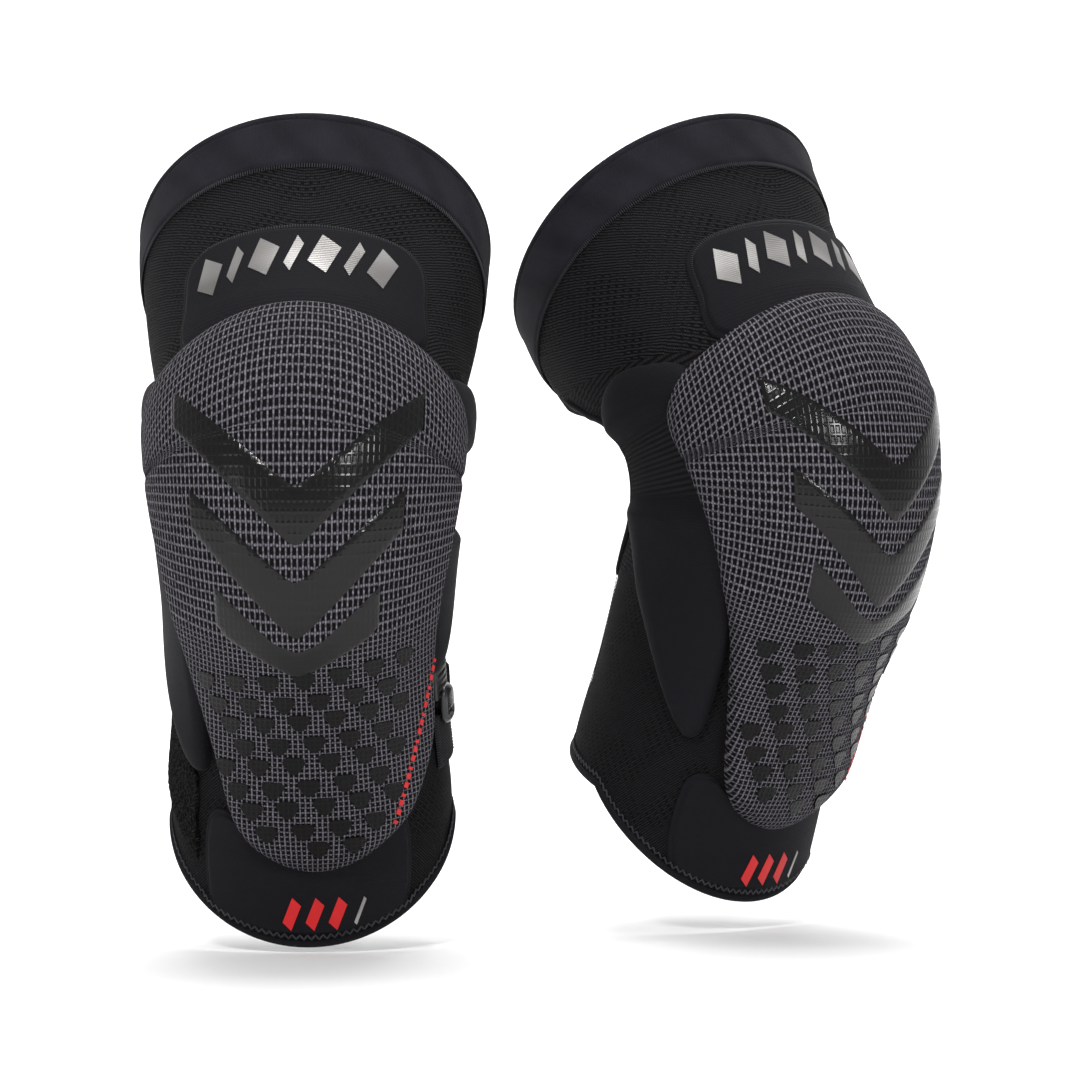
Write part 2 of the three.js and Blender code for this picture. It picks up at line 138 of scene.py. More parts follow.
# ---- The thread: each stitch's length, width and height, and how far apart stitches start ----
SEAM_STITCH, SEAM_PITCH, SEAM_ROWS = (1.5, 0.7, 0.5), 2.0, (-1.6, 1.6)
CUFF_OVERLOCK, PANEL_OVERLOCK, OVERLOCK_PITCH = (0.62, 3.0, 1.0), (0.6, 2.6, 0.8), 1.15
WEBBING_STITCH, WEBBING_STITCH_PITCH = (1.1, 0.6, 0.6), 1.5
HEM_TEETH, HEM_TOOTH = 118, 2.0
WARP_PITCH, WEFT_PITCH = 2.15, 2.5
EYELET_ROWS, EYELET_STEP = 3.1, 3.2

# ---- The prints ----
CHEVRONS = ((12, 42, 28), (-13, 36, 24), (-36, 28, 19))  # middle s, half width in degrees, drop at the ends
CHEVRON_WIDTH = 13
DOT_ROWS, DOT_ROW_STEP, DOT_STEP_PHI = 9, 11.2, 12.2
DOT_SIZE, DOT_MARGIN = 4.3, 8
BAR_COUNT, BAR_STEP_PHI, BAR_S = 7, 10.2, 57
SLASH_LOW, SLASH_HIGH = -191, -179
LINE_LOW, LINE_HIGH, LINE_DASHES = (31, -140), (55, -62), 19

BEND_REACH = 50  # how far above and below the knee the soft pieces share the bend
ARC = math.radians(1) * 68  # millimetres of cloth for one degree round the leg

# ---- The studio, in metres ----
FLOOR_DROP, FLOOR_FRONT, FLOOR_RUN, FLOOR_WIDTH = 0.002, -3.2, 8.0, 24
COVE_START, COVE_RADIUS = 1.6, 1.0
CAMERA_DISTANCE, CAMERA_X, CAMERA_Z = 1.822, 0.1049, -0.027
VIEW_WIDTH, SENSOR_WIDTH = 0.486, 36  # the sensor's width is in millimetres
WORLD_LIGHT = 0.46
LIGHT_AIM, WASH_AIM = (0.105, 0.04, 0.0), (0.1, 2.4, -0.1)
LIGHTS = (  # name, place, size, power
    ("key", (-0.4, -1.6, 1.25), 0.32, 20),
    ("fill", (1.1, -1.5, 0.55), 0.28, 8),
    ("low_left", (-1.2, -1.0, -0.05), 0.4, 1),
    ("top", (0.1, 0.3, 1.7), 0.9, 18),
    ("backdrop_wash", (0.1, 1.3, 1.6), 1.6, 46),
)


# ---------------------------------------------------------------- the leg surface

def centreline(s):
    """Where the centreline is at s, and which way the front of the leg faces there, in the YZ plane."""
    bend = math.radians(THIGH_LEAN + SHIN_LEAN)
    middle = math.pi - math.radians(THIGH_LEAN - SHIN_LEAN) / 2
    depth = BEND_RADIUS / math.cos(bend / 2)
    half_arc = BEND_RADIUS * bend / 2
    on_arc = max(-half_arc, min(half_arc, s))
    past = s - on_arc
    facing = middle - on_arc / BEND_RADIUS
    fy, fz = math.cos(facing), math.sin(facing)
    y = BEND_RADIUS * fy - depth * math.cos(middle) + past * fz
    z = BEND_RADIUS * fz - depth * math.sin(middle) - past * fy
    return y, z, fy, fz


# s, half width, front depth and back depth
GIRTHS = [
    (-215, CALF_SIDE + 2, CALF_FRONT, CALF_BACK - 2),
    (-150, CALF_SIDE + 4, CALF_FRONT, CALF_BACK),
    (-100, CALF_SIDE, CALF_FRONT + 8, CALF_BACK - 4),
    (-50, CALF_SIDE - 1, KNEE_FRONT - 7, KNEE_BACK - 6),
    (0, KNEE_SIDE, KNEE_FRONT, KNEE_BACK),
    (50, KNEE_SIDE + 6, CUFF_FRONT, KNEE_BACK + 12),
    (95, CUFF_SIDE - 3, CUFF_FRONT - 4, CUFF_BACK),
    (150, CUFF_SIDE, CUFF_FRONT, CUFF_BACK),
]


def girth(s, column):
    last = len(GIRTHS) - 1
    at = max(GIRTHS[0][0], min(GIRTHS[last][0], s))
    i = 0
    while i < last - 1 and at > GIRTHS[i + 1][0]:
        i += 1

    def slope(k):
        before, after = GIRTHS[max(k - 1, 0)], GIRTHS[min(k + 1, last)]
        return (after[column] - before[column]) / (after[0] - before[0])

    width = GIRTHS[i + 1][0] - GIRTHS[i][0]
    t = (at - GIRTHS[i][0]) / width
    ease = t * t * (3 - 2 * t)
    eased = GIRTHS[i][column] * (1 - ease) + GIRTHS[i + 1][column] * ease
    return eased + width * t * (1 - t) * ((1 - t) * slope(i) - t * slope(i + 1))


def on_leg(phi, s, h):
    y, z, fy, fz = centreline(s)
    c, d = math.cos(math.radians(phi)), math.sin(math.radians(phi))
    forward = (girth(s, 2 if c >= 0 else 3) + h) * c
    return Vector(((girth(s, 1) + h) * d, y + forward * fy, z + forward * fz)) * MM


def leg_frame(phi, s, h):
    """A point on the leg with its outward, round and along directions."""
    point = on_leg(phi, s, h)
    round_leg = (on_leg(phi + 0.5, s, h) - on_leg(phi - 0.5, s, h)).normalized()
    along = (on_leg(phi, s + 0.5, h) - on_leg(phi, s - 0.5, h)).normalized()
    out = along.cross(round_leg).normalized()
    if out.dot(on_leg(phi, s, h + 1) - point) < 0:
        out = -out
    return point, out, round_leg, along


def frontness(phi):
    return math.cos(math.radians(phi))


def rim_line(phi):
    return RIM_S + RIM_SLANT * frontness(phi)


def hem_line(phi):
    front = frontness(phi)
    return HEM_S - (HEM_SLANT if front > 0 else HEM_BACK_SLANT) * front


def cuff_seam(phi):
    return rim_line(phi) - CUFF_BAND


def knee_zone(phi):
    return KNEE_ZONE - KNEE_ZONE_SLANT * frontness(phi)


def pad_seam(phi):
    return PAD_SEAM_S - PAD_SEAM_DROP * (phi / PAD_PHI) ** 2


def ease(x, low, high):
    t = max(0.0, min(1.0, (x - low) / (high - low)))
    return t * t * (3 - 2 * t)


def mix(a, b, t):
    return a + (b - a) * t


def pad_swell(phi, s):
    across = 1 - min(abs(phi) / (PAD_PHI + 4), 1) ** 4
    near_top = ease(PAD_TOP_S - s, -4, PAD_END_TAPER)
    near_bottom = ease(s - PAD_BOTTOM_S, -4, PAD_END_TAPER)
    return mix(SHIN_SWELL, KNEE_SWELL, ease(s, -60, 0)) * across * near_top * near_bottom


# ---------------------------------------------------------------- outlines

class Outline:
    """A smooth closed line through (phi, s) points, read by its share of the way round."""

    def __init__(self, points, middle, samples=720):
        self.middle = middle
        n = len(points)
        line = []
        for k in range(samples):
            at = k * n / samples
            i, t = int(at), at - int(at)
            a, b, c, d = (points[(i + j) % n] for j in (-1, 0, 1, 2))
            line.append(tuple(
                0.5 * (2 * b[q] + (c[q] - a[q]) * t + (2 * a[q] - 5 * b[q] + 4 * c[q] - d[q]) * t * t
                       + (3 * b[q] - a[q] - 3 * c[q] + d[q]) * t ** 3)
                for q in (0, 1)))
        self.line = line
        self.lengths = [0.0]
        for k in range(samples):
            (p0, s0), (p1, s1) = line[k], line[(k + 1) % samples]
            self.lengths.append(self.lengths[-1] + math.hypot((p1 - p0) * ARC, s1 - s0))
        self.total = self.lengths[-1]

    def at(self, share):
        want = (share % 1) * self.total
        low, high = 0, len(self.line)
        while high - low > 1:
            half = (low + high) // 2
            if self.lengths[half] <= want:
                low = half
            else:
                high = half
        t = (want - self.lengths[low]) / max(self.lengths[low + 1] - self.lengths[low], 1e-9)
        (p0, s0), (p1, s1) = self.line[low], self.line[(low + 1) % len(self.line)]
        return mix(p0, p1, t), mix(s0, s1, t)

    def inside(self, share, reach):
        """The place a share of the way from the middle to the edge, and how far it is from the edge in mm."""
        phi, s = self.at(share)
        radius = math.hypot((phi - self.middle[0]) * ARC, s - self.middle[1])
        return mix(self.middle[0], phi, reach), mix(self.middle[1], s, reach), (1 - reach) * radius


def both_sides(first, right, opposite, middle):
    """An outline that is the same on both sides of the leg's front."""
    return Outline([first] + right + [opposite] + mirrored(right[::-1], -1), middle)


def mirrored(points, hand):
    return [(hand * phi, s) for phi, s in points]


# ---------------------------------------------------------------- making pieces

class Guard:
    """One guard: its name, where it stands, and the bodies its pieces move with."""

    def __init__(self, side):
        self.side = side
        hinge = next(j for j in frame["joints"] if j["name"] == f"{side}_knee_flex")
        yaw = math.atan2(-hinge["axis"][1], -hinge["axis"][0])
        self.place = Matrix.Translation(hinge["pos_m"]) @ Matrix.Rotation(yaw, 4, "Z")
        self.thigh_end = self.place @ on_centreline(BEND_REACH)
        self.shin_end = self.place @ on_centreline(-BEND_REACH)

    def ride(self, piece, part, *nodes):
        """The piece moves with one body, and stands for these CAD nodes."""
        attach(piece, f"{self.side}_{part}")
        self.stands_for(piece, *nodes)

    def bend(self, piece, *nodes):
        """The piece bends with the knee, and stands for these CAD nodes."""
        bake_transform(piece, f"{self.side}_thigh", f"{self.side}_shin", start=self.thigh_end, end=self.shin_end)
        self.stands_for(piece, *nodes)

    def stands_for(self, piece, *nodes):
        if nodes:
            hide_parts(*[f"{self.side}_{node}" for node in nodes])


def on_centreline(s):
    y, z, _, _ = centreline(s)
    return Vector((0, y, z)) * MM


def put_in_scene(name, data):
    thing = bpy.data.objects.new(name, data)
    bpy.context.scene.collection.objects.link(thing)
    return thing


def new_grid(columns, rows):
    """A flat grid that runs from 0 to 1 each way, with layers for each vertex's place on the cloth."""
    bm = bmesh.new()
    bmesh.ops.create_grid(bm, x_segments=columns, y_segments=rows, size=0.5)
    bm.verts.layers.float.new("cloth_u")
    bm.verts.layers.float.new("cloth_v")
    bmesh.ops.translate(bm, vec=(0.5, 0.5, 0), verts=bm.verts)
    return bm


def lay(bm, place):
    """Moves a grid's vertices to place(x, y) = (phi, s, h) on the leg and notes their place on the cloth."""
    u_layer, v_layer = bm.verts.layers.float["cloth_u"], bm.verts.layers.float["cloth_v"]
    for v in bm.verts:
        phi, s, h = place(v.co.x, v.co.y)
        v[u_layer], v[v_layer] = phi * ARC, s
        v.co = on_leg(phi, s, h)


def thicken(bm, wall, base=None):
    """Gives an open sheet a second side, joined round the edges: a wall's thickness in, or at height base."""
    bmesh.ops.recalc_face_normals(bm, faces=bm.faces)
    outward = sum(f.normal.dot(f.calc_center_median() - Vector((0, centreline_y(f), 0))) for f in bm.faces)
    if outward < 0:
        bmesh.ops.reverse_faces(bm, faces=bm.faces)
    bm.normal_update()
    out = bm.verts.layers.float_vector.new("out")
    for v in bm.verts:
        v[out] = v.normal
    made = bmesh.ops.extrude_face_region(bm, geom=bm.faces[:], use_keep_orig=True)
    for v in made["geom"]:
        if not isinstance(v, bmesh.types.BMVert):
            continue
        if base is None:
            v.co -= v[out] * wall * MM
        else:
            u_layer, v_layer = bm.verts.layers.float["cloth_u"], bm.verts.layers.float["cloth_v"]
            v.co = on_leg(v[u_layer] / ARC, v[v_layer], base)
    bm.verts.layers.float_vector.remove(out)


def finish_piece(bm, name, guard, finish, wall=0.0, weld=WELD, sharp=50, base=None):
    """Closes the shape, gives it a wall, its cloth coordinates and its finish, and puts it in the scene.
    Edges that turn by more than sharp degrees stay crisp."""
    u_layer, v_layer = bm.verts.layers.float.get("cloth_u"), bm.verts.layers.float.get("cloth_v")
    if weld:
        bmesh.ops.remove_doubles(bm, verts=bm.verts, dist=weld)
    if wall or base is not None:
        thicken(bm, wall, base)
    bmesh.ops.transform(bm, matrix=guard.place, verts=bm.verts)
    bmesh.ops.recalc_face_normals(bm, faces=bm.faces)
    if u_layer is not None:
        uv = bm.loops.layers.uv.new("cloth")
        for face in bm.faces:
            for loop in face.loops:
                loop[uv].uv = (loop.vert[u_layer], loop.vert[v_layer])
    full_name = f"{guard.side}_{name}"
    mesh = bpy.data.meshes.new(full_name)
    bm.to_mesh(mesh)
    bm.free()
    for old in ("cloth_u", "cloth_v"):
        if old in mesh.attributes:
            mesh.attributes.remove(mesh.attributes[old])
    mesh.polygons.foreach_set("use_smooth", [True] * len(mesh.polygons))
    mesh.set_sharp_from_angle(angle=math.radians(sharp))
    mesh.materials.append(MATERIALS[finish])
    piece = put_in_scene(full_name, mesh)
    return piece


def centreline_y(face):
    """How far back the centreline is at a face's height, near enough to tell outside from inside."""
    z = face.calc_center_median().z
    return abs(z) * math.tan(math.radians(THIGH_LEAN if z > 0 else SHIN_LEAN))


def panel(guard, name, finish, phis, lines, height, wall, columns, rows):
    """A strip of cloth between two angles and two lines, with height(phi, s, x, y) above the skin."""
    bm = new_grid(columns, rows)

    def place(x, y):
        first, last = phis(y) if callable(phis) else phis
        phi = mix(first, last, x)
        s = mix(lines[0](phi), lines[1](phi), y)
        return phi, s, height(phi, s, x, y)

    lay(bm, place)
    return finish_piece(bm, name, guard, finish, wall)


def patch(guard, name, finish, outline, height, wall, rings, spokes, base=None):
    """A piece with a smooth outline, filled in rings that crowd towards its edge."""
    bm = new_grid(rings, spokes)

    def place(x, y):
        reach = 1 - (1 - x) ** RING_CROWDING
        phi, s, inset = outline.inside(y, reach)
        return phi, s, height(phi, s, inset)

    lay(bm, place)
    return finish_piece(bm, name, guard, finish, wall, base=base)


def roll_over(inset, radius):
    """From 0 at the edge to 1, along a quarter circle."""
    t = max(0.0, min(1.0, inset / radius))
    return math.sqrt(1 - (1 - t) ** 2)


def round_cord(guard, name, finish, path, across, up, steps, sides=10, closed=False):
    """A rounded cord or binding along path(t) = (phi, s, h), with tucked-in ends unless it is closed."""
    bm = new_grid(steps, sides)
    u_layer, v_layer = bm.verts.layers.float["cloth_u"], bm.verts.layers.float["cloth_v"]
    for v in bm.verts:
        t, turn = v.co.x, 2 * math.pi * v.co.y
        phi, s, h = path(t)
        ends = 1.0 if closed else min(1.0, math.sqrt(max(0.0, min(t, 1 - t)) * steps / 2))
        ahead = on_leg(*path(min(t + 0.002, 1.0 if not closed else 2.0)))
        behind = on_leg(*path(max(t - 0.002, 0.0 if not closed else -1.0)))
        point, out, _, _ = leg_frame(phi, s, h)
        tangent = (ahead - behind).normalized()
        side = tangent.cross(out).normalized()
        v[u_layer], v[v_layer] = t * steps * 2, math.degrees(turn) / 60
        v.co = point + ends * MM * (side * across * math.cos(turn) + out * up * math.sin(turn))
    return finish_piece(bm, name, guard, finish, weld=CORD_WELD)


def stitches(guard, name, paths, pitch, size):
    """Rows of small sewn stitches along each path. size is each stitch's length, width and height."""
    bm = bmesh.new()
    for path in paths:
        points = [on_leg(*path(k / 200)) for k in range(201)]
        length = sum((b - a).length for a, b in zip(points, points[1:])) / MM
        count = max(2, round(length / pitch))
        for k in range(count):
            t = (k + 0.5) / count
            point, out, _, _ = leg_frame(*path(t))
            tangent = (on_leg(*path(min(t + 0.002, 1))) - on_leg(*path(max(t - 0.002, 0)))).normalized()
            across = out.cross(tangent).normalized()
            axes = Matrix((tangent, across, out)).transposed().to_4x4()
            scale = Matrix.Diagonal((size[0] * MM, size[1] * MM, size[2] * MM, 1))
            matrix = Matrix.Translation(point) @ axes @ scale
            bmesh.ops.create_icosphere(bm, subdivisions=1, radius=0.5, matrix=matrix)
    return finish_piece(bm, name, guard, "thread", weld=0.0, sharp=180)


# ---------------------------------------------------------------- materials

class Recipe:
    """Builds one node material. Each method adds a node and returns what comes out of it."""

    def __init__(self, name, roughness=0.8, **shader_values):
        self.material = bpy.data.materials.new(name)
        self.material.use_nodes = True
        tree = self.material.node_tree
        self.nodes, self.links = tree.nodes, tree.links
        self.shader = self.nodes["Principled BSDF"]
        self.shader.inputs["Roughness"].default_value = roughness
        for key, value in shader_values.items():
            self.shader.inputs[key.replace("_", " ")].default_value = value

    def connect(self, value, socket):
        """Joins another node's output to a socket, or sets the socket to a plain value."""
        if isinstance(value, bpy.types.NodeSocket):
            self.links.new(value, socket)
        else:
            socket.default_value = value

    def cloth(self):
        uv = self.nodes.new("ShaderNodeUVMap")
        uv.uv_map = "cloth"
        parts = self.nodes.new("ShaderNodeSeparateXYZ")
        self.links.new(uv.outputs[0], parts.inputs[0])
        return parts.outputs[0], parts.outputs[1]

    def at(self, x, y, z=0.0):
        node = self.nodes.new("ShaderNodeCombineXYZ")
        for value, socket in zip((x, y, z), node.inputs):
            self.connect(value, socket)
        return node.outputs[0]

    def object_place(self):
        return self.nodes.new("ShaderNodeTexCoord").outputs["Object"]

    def math(self, operation, a, b=0.0, c=0.0):
        node = self.nodes.new("ShaderNodeMath")
        node.operation = operation
        for value, socket in zip((a, b, c), node.inputs):
            self.connect(value, socket)
        return node.outputs[0]

    def times(self, a, b):
        return self.math("MULTIPLY", a, b)

    def times_add(self, a, b, c):
        return self.math("MULTIPLY_ADD", a, b, c)

    def between(self, value, low, high, out_low=0.0, out_high=1.0):
        node = self.nodes.new("ShaderNodeMapRange")
        node.interpolation_type = "SMOOTHSTEP"
        self.connect(value, node.inputs["Value"])
        for key, number in (("From Min", low), ("From Max", high), ("To Min", out_low), ("To Max", out_high)):
            node.inputs[key].default_value = number
        return node.outputs[0]

    def noise(self, place, scale, detail=2.0, roughness=0.5):
        node = self.nodes.new("ShaderNodeTexNoise")
        self.connect(place, node.inputs["Vector"])
        node.inputs["Scale"].default_value = scale
        node.inputs["Detail"].default_value = detail
        node.inputs["Roughness"].default_value = roughness
        return node.outputs[0]

    def cells(self, place, scale):
        node = self.nodes.new("ShaderNodeTexVoronoi")
        self.connect(place, node.inputs["Vector"])
        node.inputs["Scale"].default_value = scale
        return node.outputs["Distance"]

    def thread(self, value, pitch, width):
        """1 on the middle of lines a pitch apart, falling to 0 half a width away."""
        share = self.math("FRACT", self.times(value, 1 / pitch))
        off = self.math("ABSOLUTE", self.math("SUBTRACT", share, 0.5))
        return self.between(off, 0.08 * width / pitch, 0.5 * width / pitch, 1.0, 0.0)

    def beads(self, value, pitch):
        """From 0 to 1 and back once a pitch."""
        wave = self.math("COSINE", self.times(value, 2 * math.pi / pitch))
        return self.times_add(wave, 0.5, 0.5)

    def shade(self, factor, dark, light):
        node = self.nodes.new("ShaderNodeMix")
        node.data_type = "RGBA"
        self.connect(factor, node.inputs[0])
        for colour, socket in ((dark, node.inputs[6]), (light, node.inputs[7])):
            self.connect(colour if isinstance(colour, bpy.types.NodeSocket) else (*colour, 1), socket)
        return node.outputs[2]

    def colour(self, value):
        self.connect(value, self.shader.inputs["Base Color"])
        return self

    def rough(self, value):
        self.connect(value, self.shader.inputs["Roughness"])
        return self

    def relief(self, height, depth, strength=1.0):
        """Bump from a height that runs 0 to 1, over a depth in millimetres."""
        node = self.nodes.new("ShaderNodeBump")
        node.inputs["Strength"].default_value = strength
        node.inputs["Distance"].default_value = depth * MM
        self.connect(height, node.inputs["Height"])
        self.links.new(node.outputs[0], self.shader.inputs["Normal"])
        return self


def make_pad_knit():
    r = Recipe("pad_knit", 0.85, Specular_IOR_Level=0.08)
    u, v = r.cloth()
    sway = r.noise(r.at(u, v), 0.35, 1.0)
    u = r.times_add(sway, 0.5, u)
    v = r.times_add(sway, -0.5, v)
    warp = r.times(r.thread(u, WARP_PITCH, 1.0), r.times_add(r.beads(v, 1.3), 0.55, 0.45))
    weft = r.times(r.thread(v, WEFT_PITCH, 0.95), r.times_add(r.beads(u, 1.08), 0.6, 0.3))
    grid = r.math("MAXIMUM", warp, weft)
    melange = r.between(r.noise(r.at(u, v), 0.9, 3.0, 0.6), 0.32, 0.7, 0.35, 1.25)
    thread = r.times(grid, melange)
    fill = r.between(r.noise(r.at(u, v), 2.6, 1.0), 0.35, 0.75)
    ground = r.shade(fill, (0.0022, 0.0020, 0.0026), (0.0060, 0.0057, 0.0070))
    r.colour(r.shade(thread, ground, (0.225, 0.213, 0.246)))
    r.relief(r.math("ADD", grid, r.times(fill, 0.3)), 0.35)
    return r.material


def make_mesh_knit(name, slant, dark, light):
    """Knitted mesh: ribs that meet in a V on the middle line, with rows of small dark eyelets between."""
    r = Recipe(name, 0.9, Specular_IOR_Level=0.1)
    u, v = r.cloth()
    folded = r.math("SQRT", r.math("ADD", r.times(u, u), 140.0))
    w = r.times_add(folded, slant, v)
    wobble = r.times(r.noise(r.at(u, v), 0.25, 1.0), 1.2)
    w = r.math("ADD", w, wobble)
    rib = r.beads(w, 1.55)
    loops = r.beads(u, 0.9)
    row = r.math("FLOOR", r.times(w, 1 / EYELET_ROWS))
    staggered = r.times_add(row, EYELET_STEP / 2, u)
    holes = r.times(r.thread(w, EYELET_ROWS, 1.7), r.thread(staggered, EYELET_STEP, 2.2))
    open_share = r.between(r.noise(r.at(u, v), 0.045, 1.0), 0.38, 0.6)
    holes = r.times(holes, open_share)
    yarn = r.times(rib, r.times_add(loops, 0.5, 0.5))
    fleck = r.between(r.noise(r.at(u, v), 1.7, 2.0), 0.35, 0.75, 0.5, 1.2)
    lit = r.times(r.times(yarn, fleck), r.math("SUBTRACT", 1.0, holes))
    r.colour(r.shade(lit, dark, light))
    r.relief(r.math("SUBTRACT", yarn, r.times(holes, 1.2)), 0.45)
    return r.material


def make_fine_rib(name, pitch, dark, light, along_leg=False):
    r = Recipe(name, 0.9, Specular_IOR_Level=0.1)
    u, v = r.cloth()
    first, second = (v, u) if along_leg else (u, v)
    rib = r.beads(r.times_add(r.noise(r.at(u, v), 0.2, 1.0), 1.0, first), pitch)
    loops = r.beads(second, pitch * 0.6)
    yarn = r.times(rib, r.times_add(loops, 0.4, 0.6))
    r.colour(r.shade(yarn, dark, light))
    r.relief(yarn, 0.35)
    return r.material


def make_cuff_elastic():
    """Brushed elastic with a band of tone-on-tone slanted bars."""
    r = Recipe("cuff_elastic", 0.85, Sheen_Weight=0.02, Sheen_Roughness=0.35, Specular_IOR_Level=0.12)
    u, v = r.cloth()
    fuzz = r.noise(r.at(u, v), 2.2, 4.0, 0.7)
    cloud = r.noise(r.at(u, v), 0.06, 2.0)
    base = r.shade(r.between(fuzz, 0.3, 0.75), (0.0048, 0.0048, 0.0068), (0.0235, 0.023, 0.031))
    base = r.shade(r.between(cloud, 0.35, 0.7, 0.0, 0.3), base, (0.022, 0.0215, 0.029))
    lean = r.times_add(v, 0.75, u)
    bars = r.thread(lean, 26.0, 17.0)
    r.colour(r.shade(r.times(bars, 0.30), base, (0.004, 0.004, 0.006)))
    r.relief(r.math("ADD", fuzz, r.times(r.beads(u, 1.1), 0.25)), 0.3)
    return r.material


def make_neoprene(name="neoprene", ribs=None):
    """Knit-faced neoprene. ribs is the stretch of the leg over which it is gathered into crosswise ribs,
    coloured with painted shade in their troughs and a painted highlight on their crests.
    """
    r = Recipe(name, 0.8, Sheen_Weight=0.02, Sheen_Roughness=0.3, Specular_IOR_Level=0.15)
    u, v = r.cloth()
    rows = r.times(r.beads(v, 1.15), r.between(r.noise(r.at(u, v), 0.5, 2.0), 0.3, 0.7, 0.5, 1.0))
    grain = r.noise(r.at(u, v), 2.8, 2.0, 0.6)
    tone = r.times_add(rows, 0.35, r.times(r.between(grain, 0.3, 0.75), 0.65))
    cloth = r.shade(tone, (0.0027, 0.0027, 0.0040), (0.0088, 0.0088, 0.0122))
    height = r.times_add(rows, 0.4, grain)
    if ribs:
        bowed = r.times_add(r.math("ABSOLUTE", u), 0.12, v)
        low, high = ribs
        window = r.times(r.between(v, low, low + 4), r.between(v, high - 4, high, 1.0, 0.0))
        fold = r.beads(bowed, 2.3)
        # Painted shade in the troughs between the ribs and a painted highlight on their crests, as colour
        painted_rib_shade = r.shade(fold, (0.0020, 0.0020, 0.0026), (0.0135, 0.0130, 0.0150))
        cloth = r.shade(window, cloth, painted_rib_shade)
        height = r.times_add(r.times(fold, window), 4.0, height)
    r.colour(cloth)
    r.relief(height, 0.16)
    return r.material


def make_loop_fabric():
    r = Recipe("loop_fabric", 0.95, Specular_IOR_Level=0.1)
    u, v = r.cloth()
    tufts = r.between(r.cells(r.at(u, v), 0.95), 0.1, 0.75, 1.0, 0.0)
    fleck = r.between(r.noise(r.at(u, v), 1.4, 3.0, 0.7), 0.4, 0.72)
    r.colour(r.shade(r.times(tufts, fleck), (0.0028, 0.0028, 0.003), (0.085, 0.083, 0.088)))
    r.relief(r.math("ADD", tufts, fleck), 0.7)
    return r.material


def make_webbing():
    r = Recipe("webbing", 0.75, Specular_IOR_Level=0.15)
    u, v = r.cloth()
    ribs = r.beads(v, 1.25)
    picks = r.beads(u, 1.9)
    weave = r.times(ribs, r.times_add(picks, 0.6, 0.4))
    r.colour(r.shade(weave, (0.0055, 0.0055, 0.006), (0.060, 0.059, 0.064)))
    r.relief(weave, 0.4)
    return r.material


def make_black_print(name, gloss, specular):
    """Thick black rubber print: the threads under it show as a faint grid."""
    r = Recipe(name, gloss, Specular_IOR_Level=specular)
    u, v = r.cloth()
    grid = r.math("MAXIMUM", r.thread(u, WARP_PITCH, 1.4), r.thread(v, WEFT_PITCH, 1.3))
    r.colour(r.shade(grid, (0.0016, 0.0016, 0.0018), (0.0045, 0.0045, 0.005)))
    r.rough(r.between(grid, 0.0, 1.0, gloss * 1.5, gloss))
    r.relief(grid, 0.09)
    return r.material


def make_silver_print():
    r = Recipe("silver_print", 0.42, Metallic=0.7)
    u, v = r.cloth()
    rows = r.beads(v, 1.1)
    flow = r.between(r.noise(r.at(u, v), 0.03, 1.0), 0.35, 0.65)
    r.colour(r.shade(flow, (0.22, 0.21, 0.205), (0.40, 0.39, 0.38)))
    r.relief(r.times_add(r.noise(r.at(u, v), 1.5, 2.0), 0.6, rows), 0.07)
    return r.material


def make_plain(name, colour, light, roughness, grain=0.12, scale=2.0, **values):
    """A smooth finish with a fine grain, read from the piece's place."""
    r = Recipe(name, roughness, **values)
    place = r.object_place()
    grains = r.noise(place, scale * 1000, 3.0, 0.6)
    cloud = r.noise(place, 60.0, 2.0)
    r.colour(r.shade(r.between(cloud, 0.3, 0.7), colour, light))
    r.relief(grains, grain)
    return r.material


MATERIALS = {
    "pad_knit": make_pad_knit(),
    "thigh_mesh": make_mesh_knit("thigh_mesh", -0.62, (0.0012, 0.0012, 0.0014), (0.036, 0.035, 0.039)),
    "calf_mesh": make_mesh_knit("calf_mesh", 0.85, (0.0012, 0.0012, 0.0014), (0.027, 0.026, 0.029)),
    "ribbed_knit": make_fine_rib("ribbed_knit", 1.5, (0.0025, 0.0025, 0.0028), (0.022, 0.021, 0.024)),
    "stretch_knit": make_fine_rib("stretch_knit", 2.4, (0.003, 0.003, 0.0034), (0.020, 0.0195, 0.0215), True),
    "cuff_elastic": make_cuff_elastic(),
    "neoprene": make_neoprene(),
    "wing_neoprene": make_neoprene("wing_neoprene", WING_WAIST),
    "loop_fabric": make_loop_fabric(),
    "webbing": make_webbing(),
    "black_print": make_black_print("black_print", 0.15, 0.3),
    "dot_print": make_black_print("dot_print", 0.3, 0.16),
    "silver_print": make_silver_print(),
    "red_print": make_plain("red_print", (0.50, 0.001, 0.003), (0.58, 0.002, 0.005), 0.5),
    "foam": make_plain("foam", (0.15, 0.155, 0.165), (0.19, 0.195, 0.205), 0.95, 0.3, 1.2),
    "silicone": make_plain("silicone", (0.028, 0.028, 0.033), (0.045, 0.045, 0.05), 0.35, 0.05),
    "black_rubber": make_plain("black_rubber", (0.006, 0.006, 0.0066), (0.012, 0.012, 0.013), 0.42, 0.08),
    "grey_plastic": make_plain("grey_plastic", (0.016, 0.016, 0.018), (0.026, 0.026, 0.029), 0.24, 0.03),
    "thread": make_plain("thread", (0.011, 0.011, 0.014), (0.022, 0.022, 0.028), 0.7, 0.1),
}


# ---------------------------------------------------------------- the sleeve

def surface_size(phis, lines, steps=40):
    """A piece of cloth's mean width round the leg and mean length along it, measured on its surface."""
    def point(x, y):
        first, last = phis(y) if callable(phis) else phis
        phi = mix(first, last, x)
        return on_leg(phi, mix(lines[0](phi), lines[1](phi), y), KNIT)

    spots = [[point(i / steps, j / steps) for j in range(steps + 1)] for i in range(steps + 1)]
    width = sum((spots[i + 1][j] - spots[i][j]).length for i in range(steps) for j in range(steps + 1))
    length = sum((spots[i][j + 1] - spots[i][j]).length for i in range(steps + 1) for j in range(steps))
    return width / (steps + 1), length / (steps + 1)


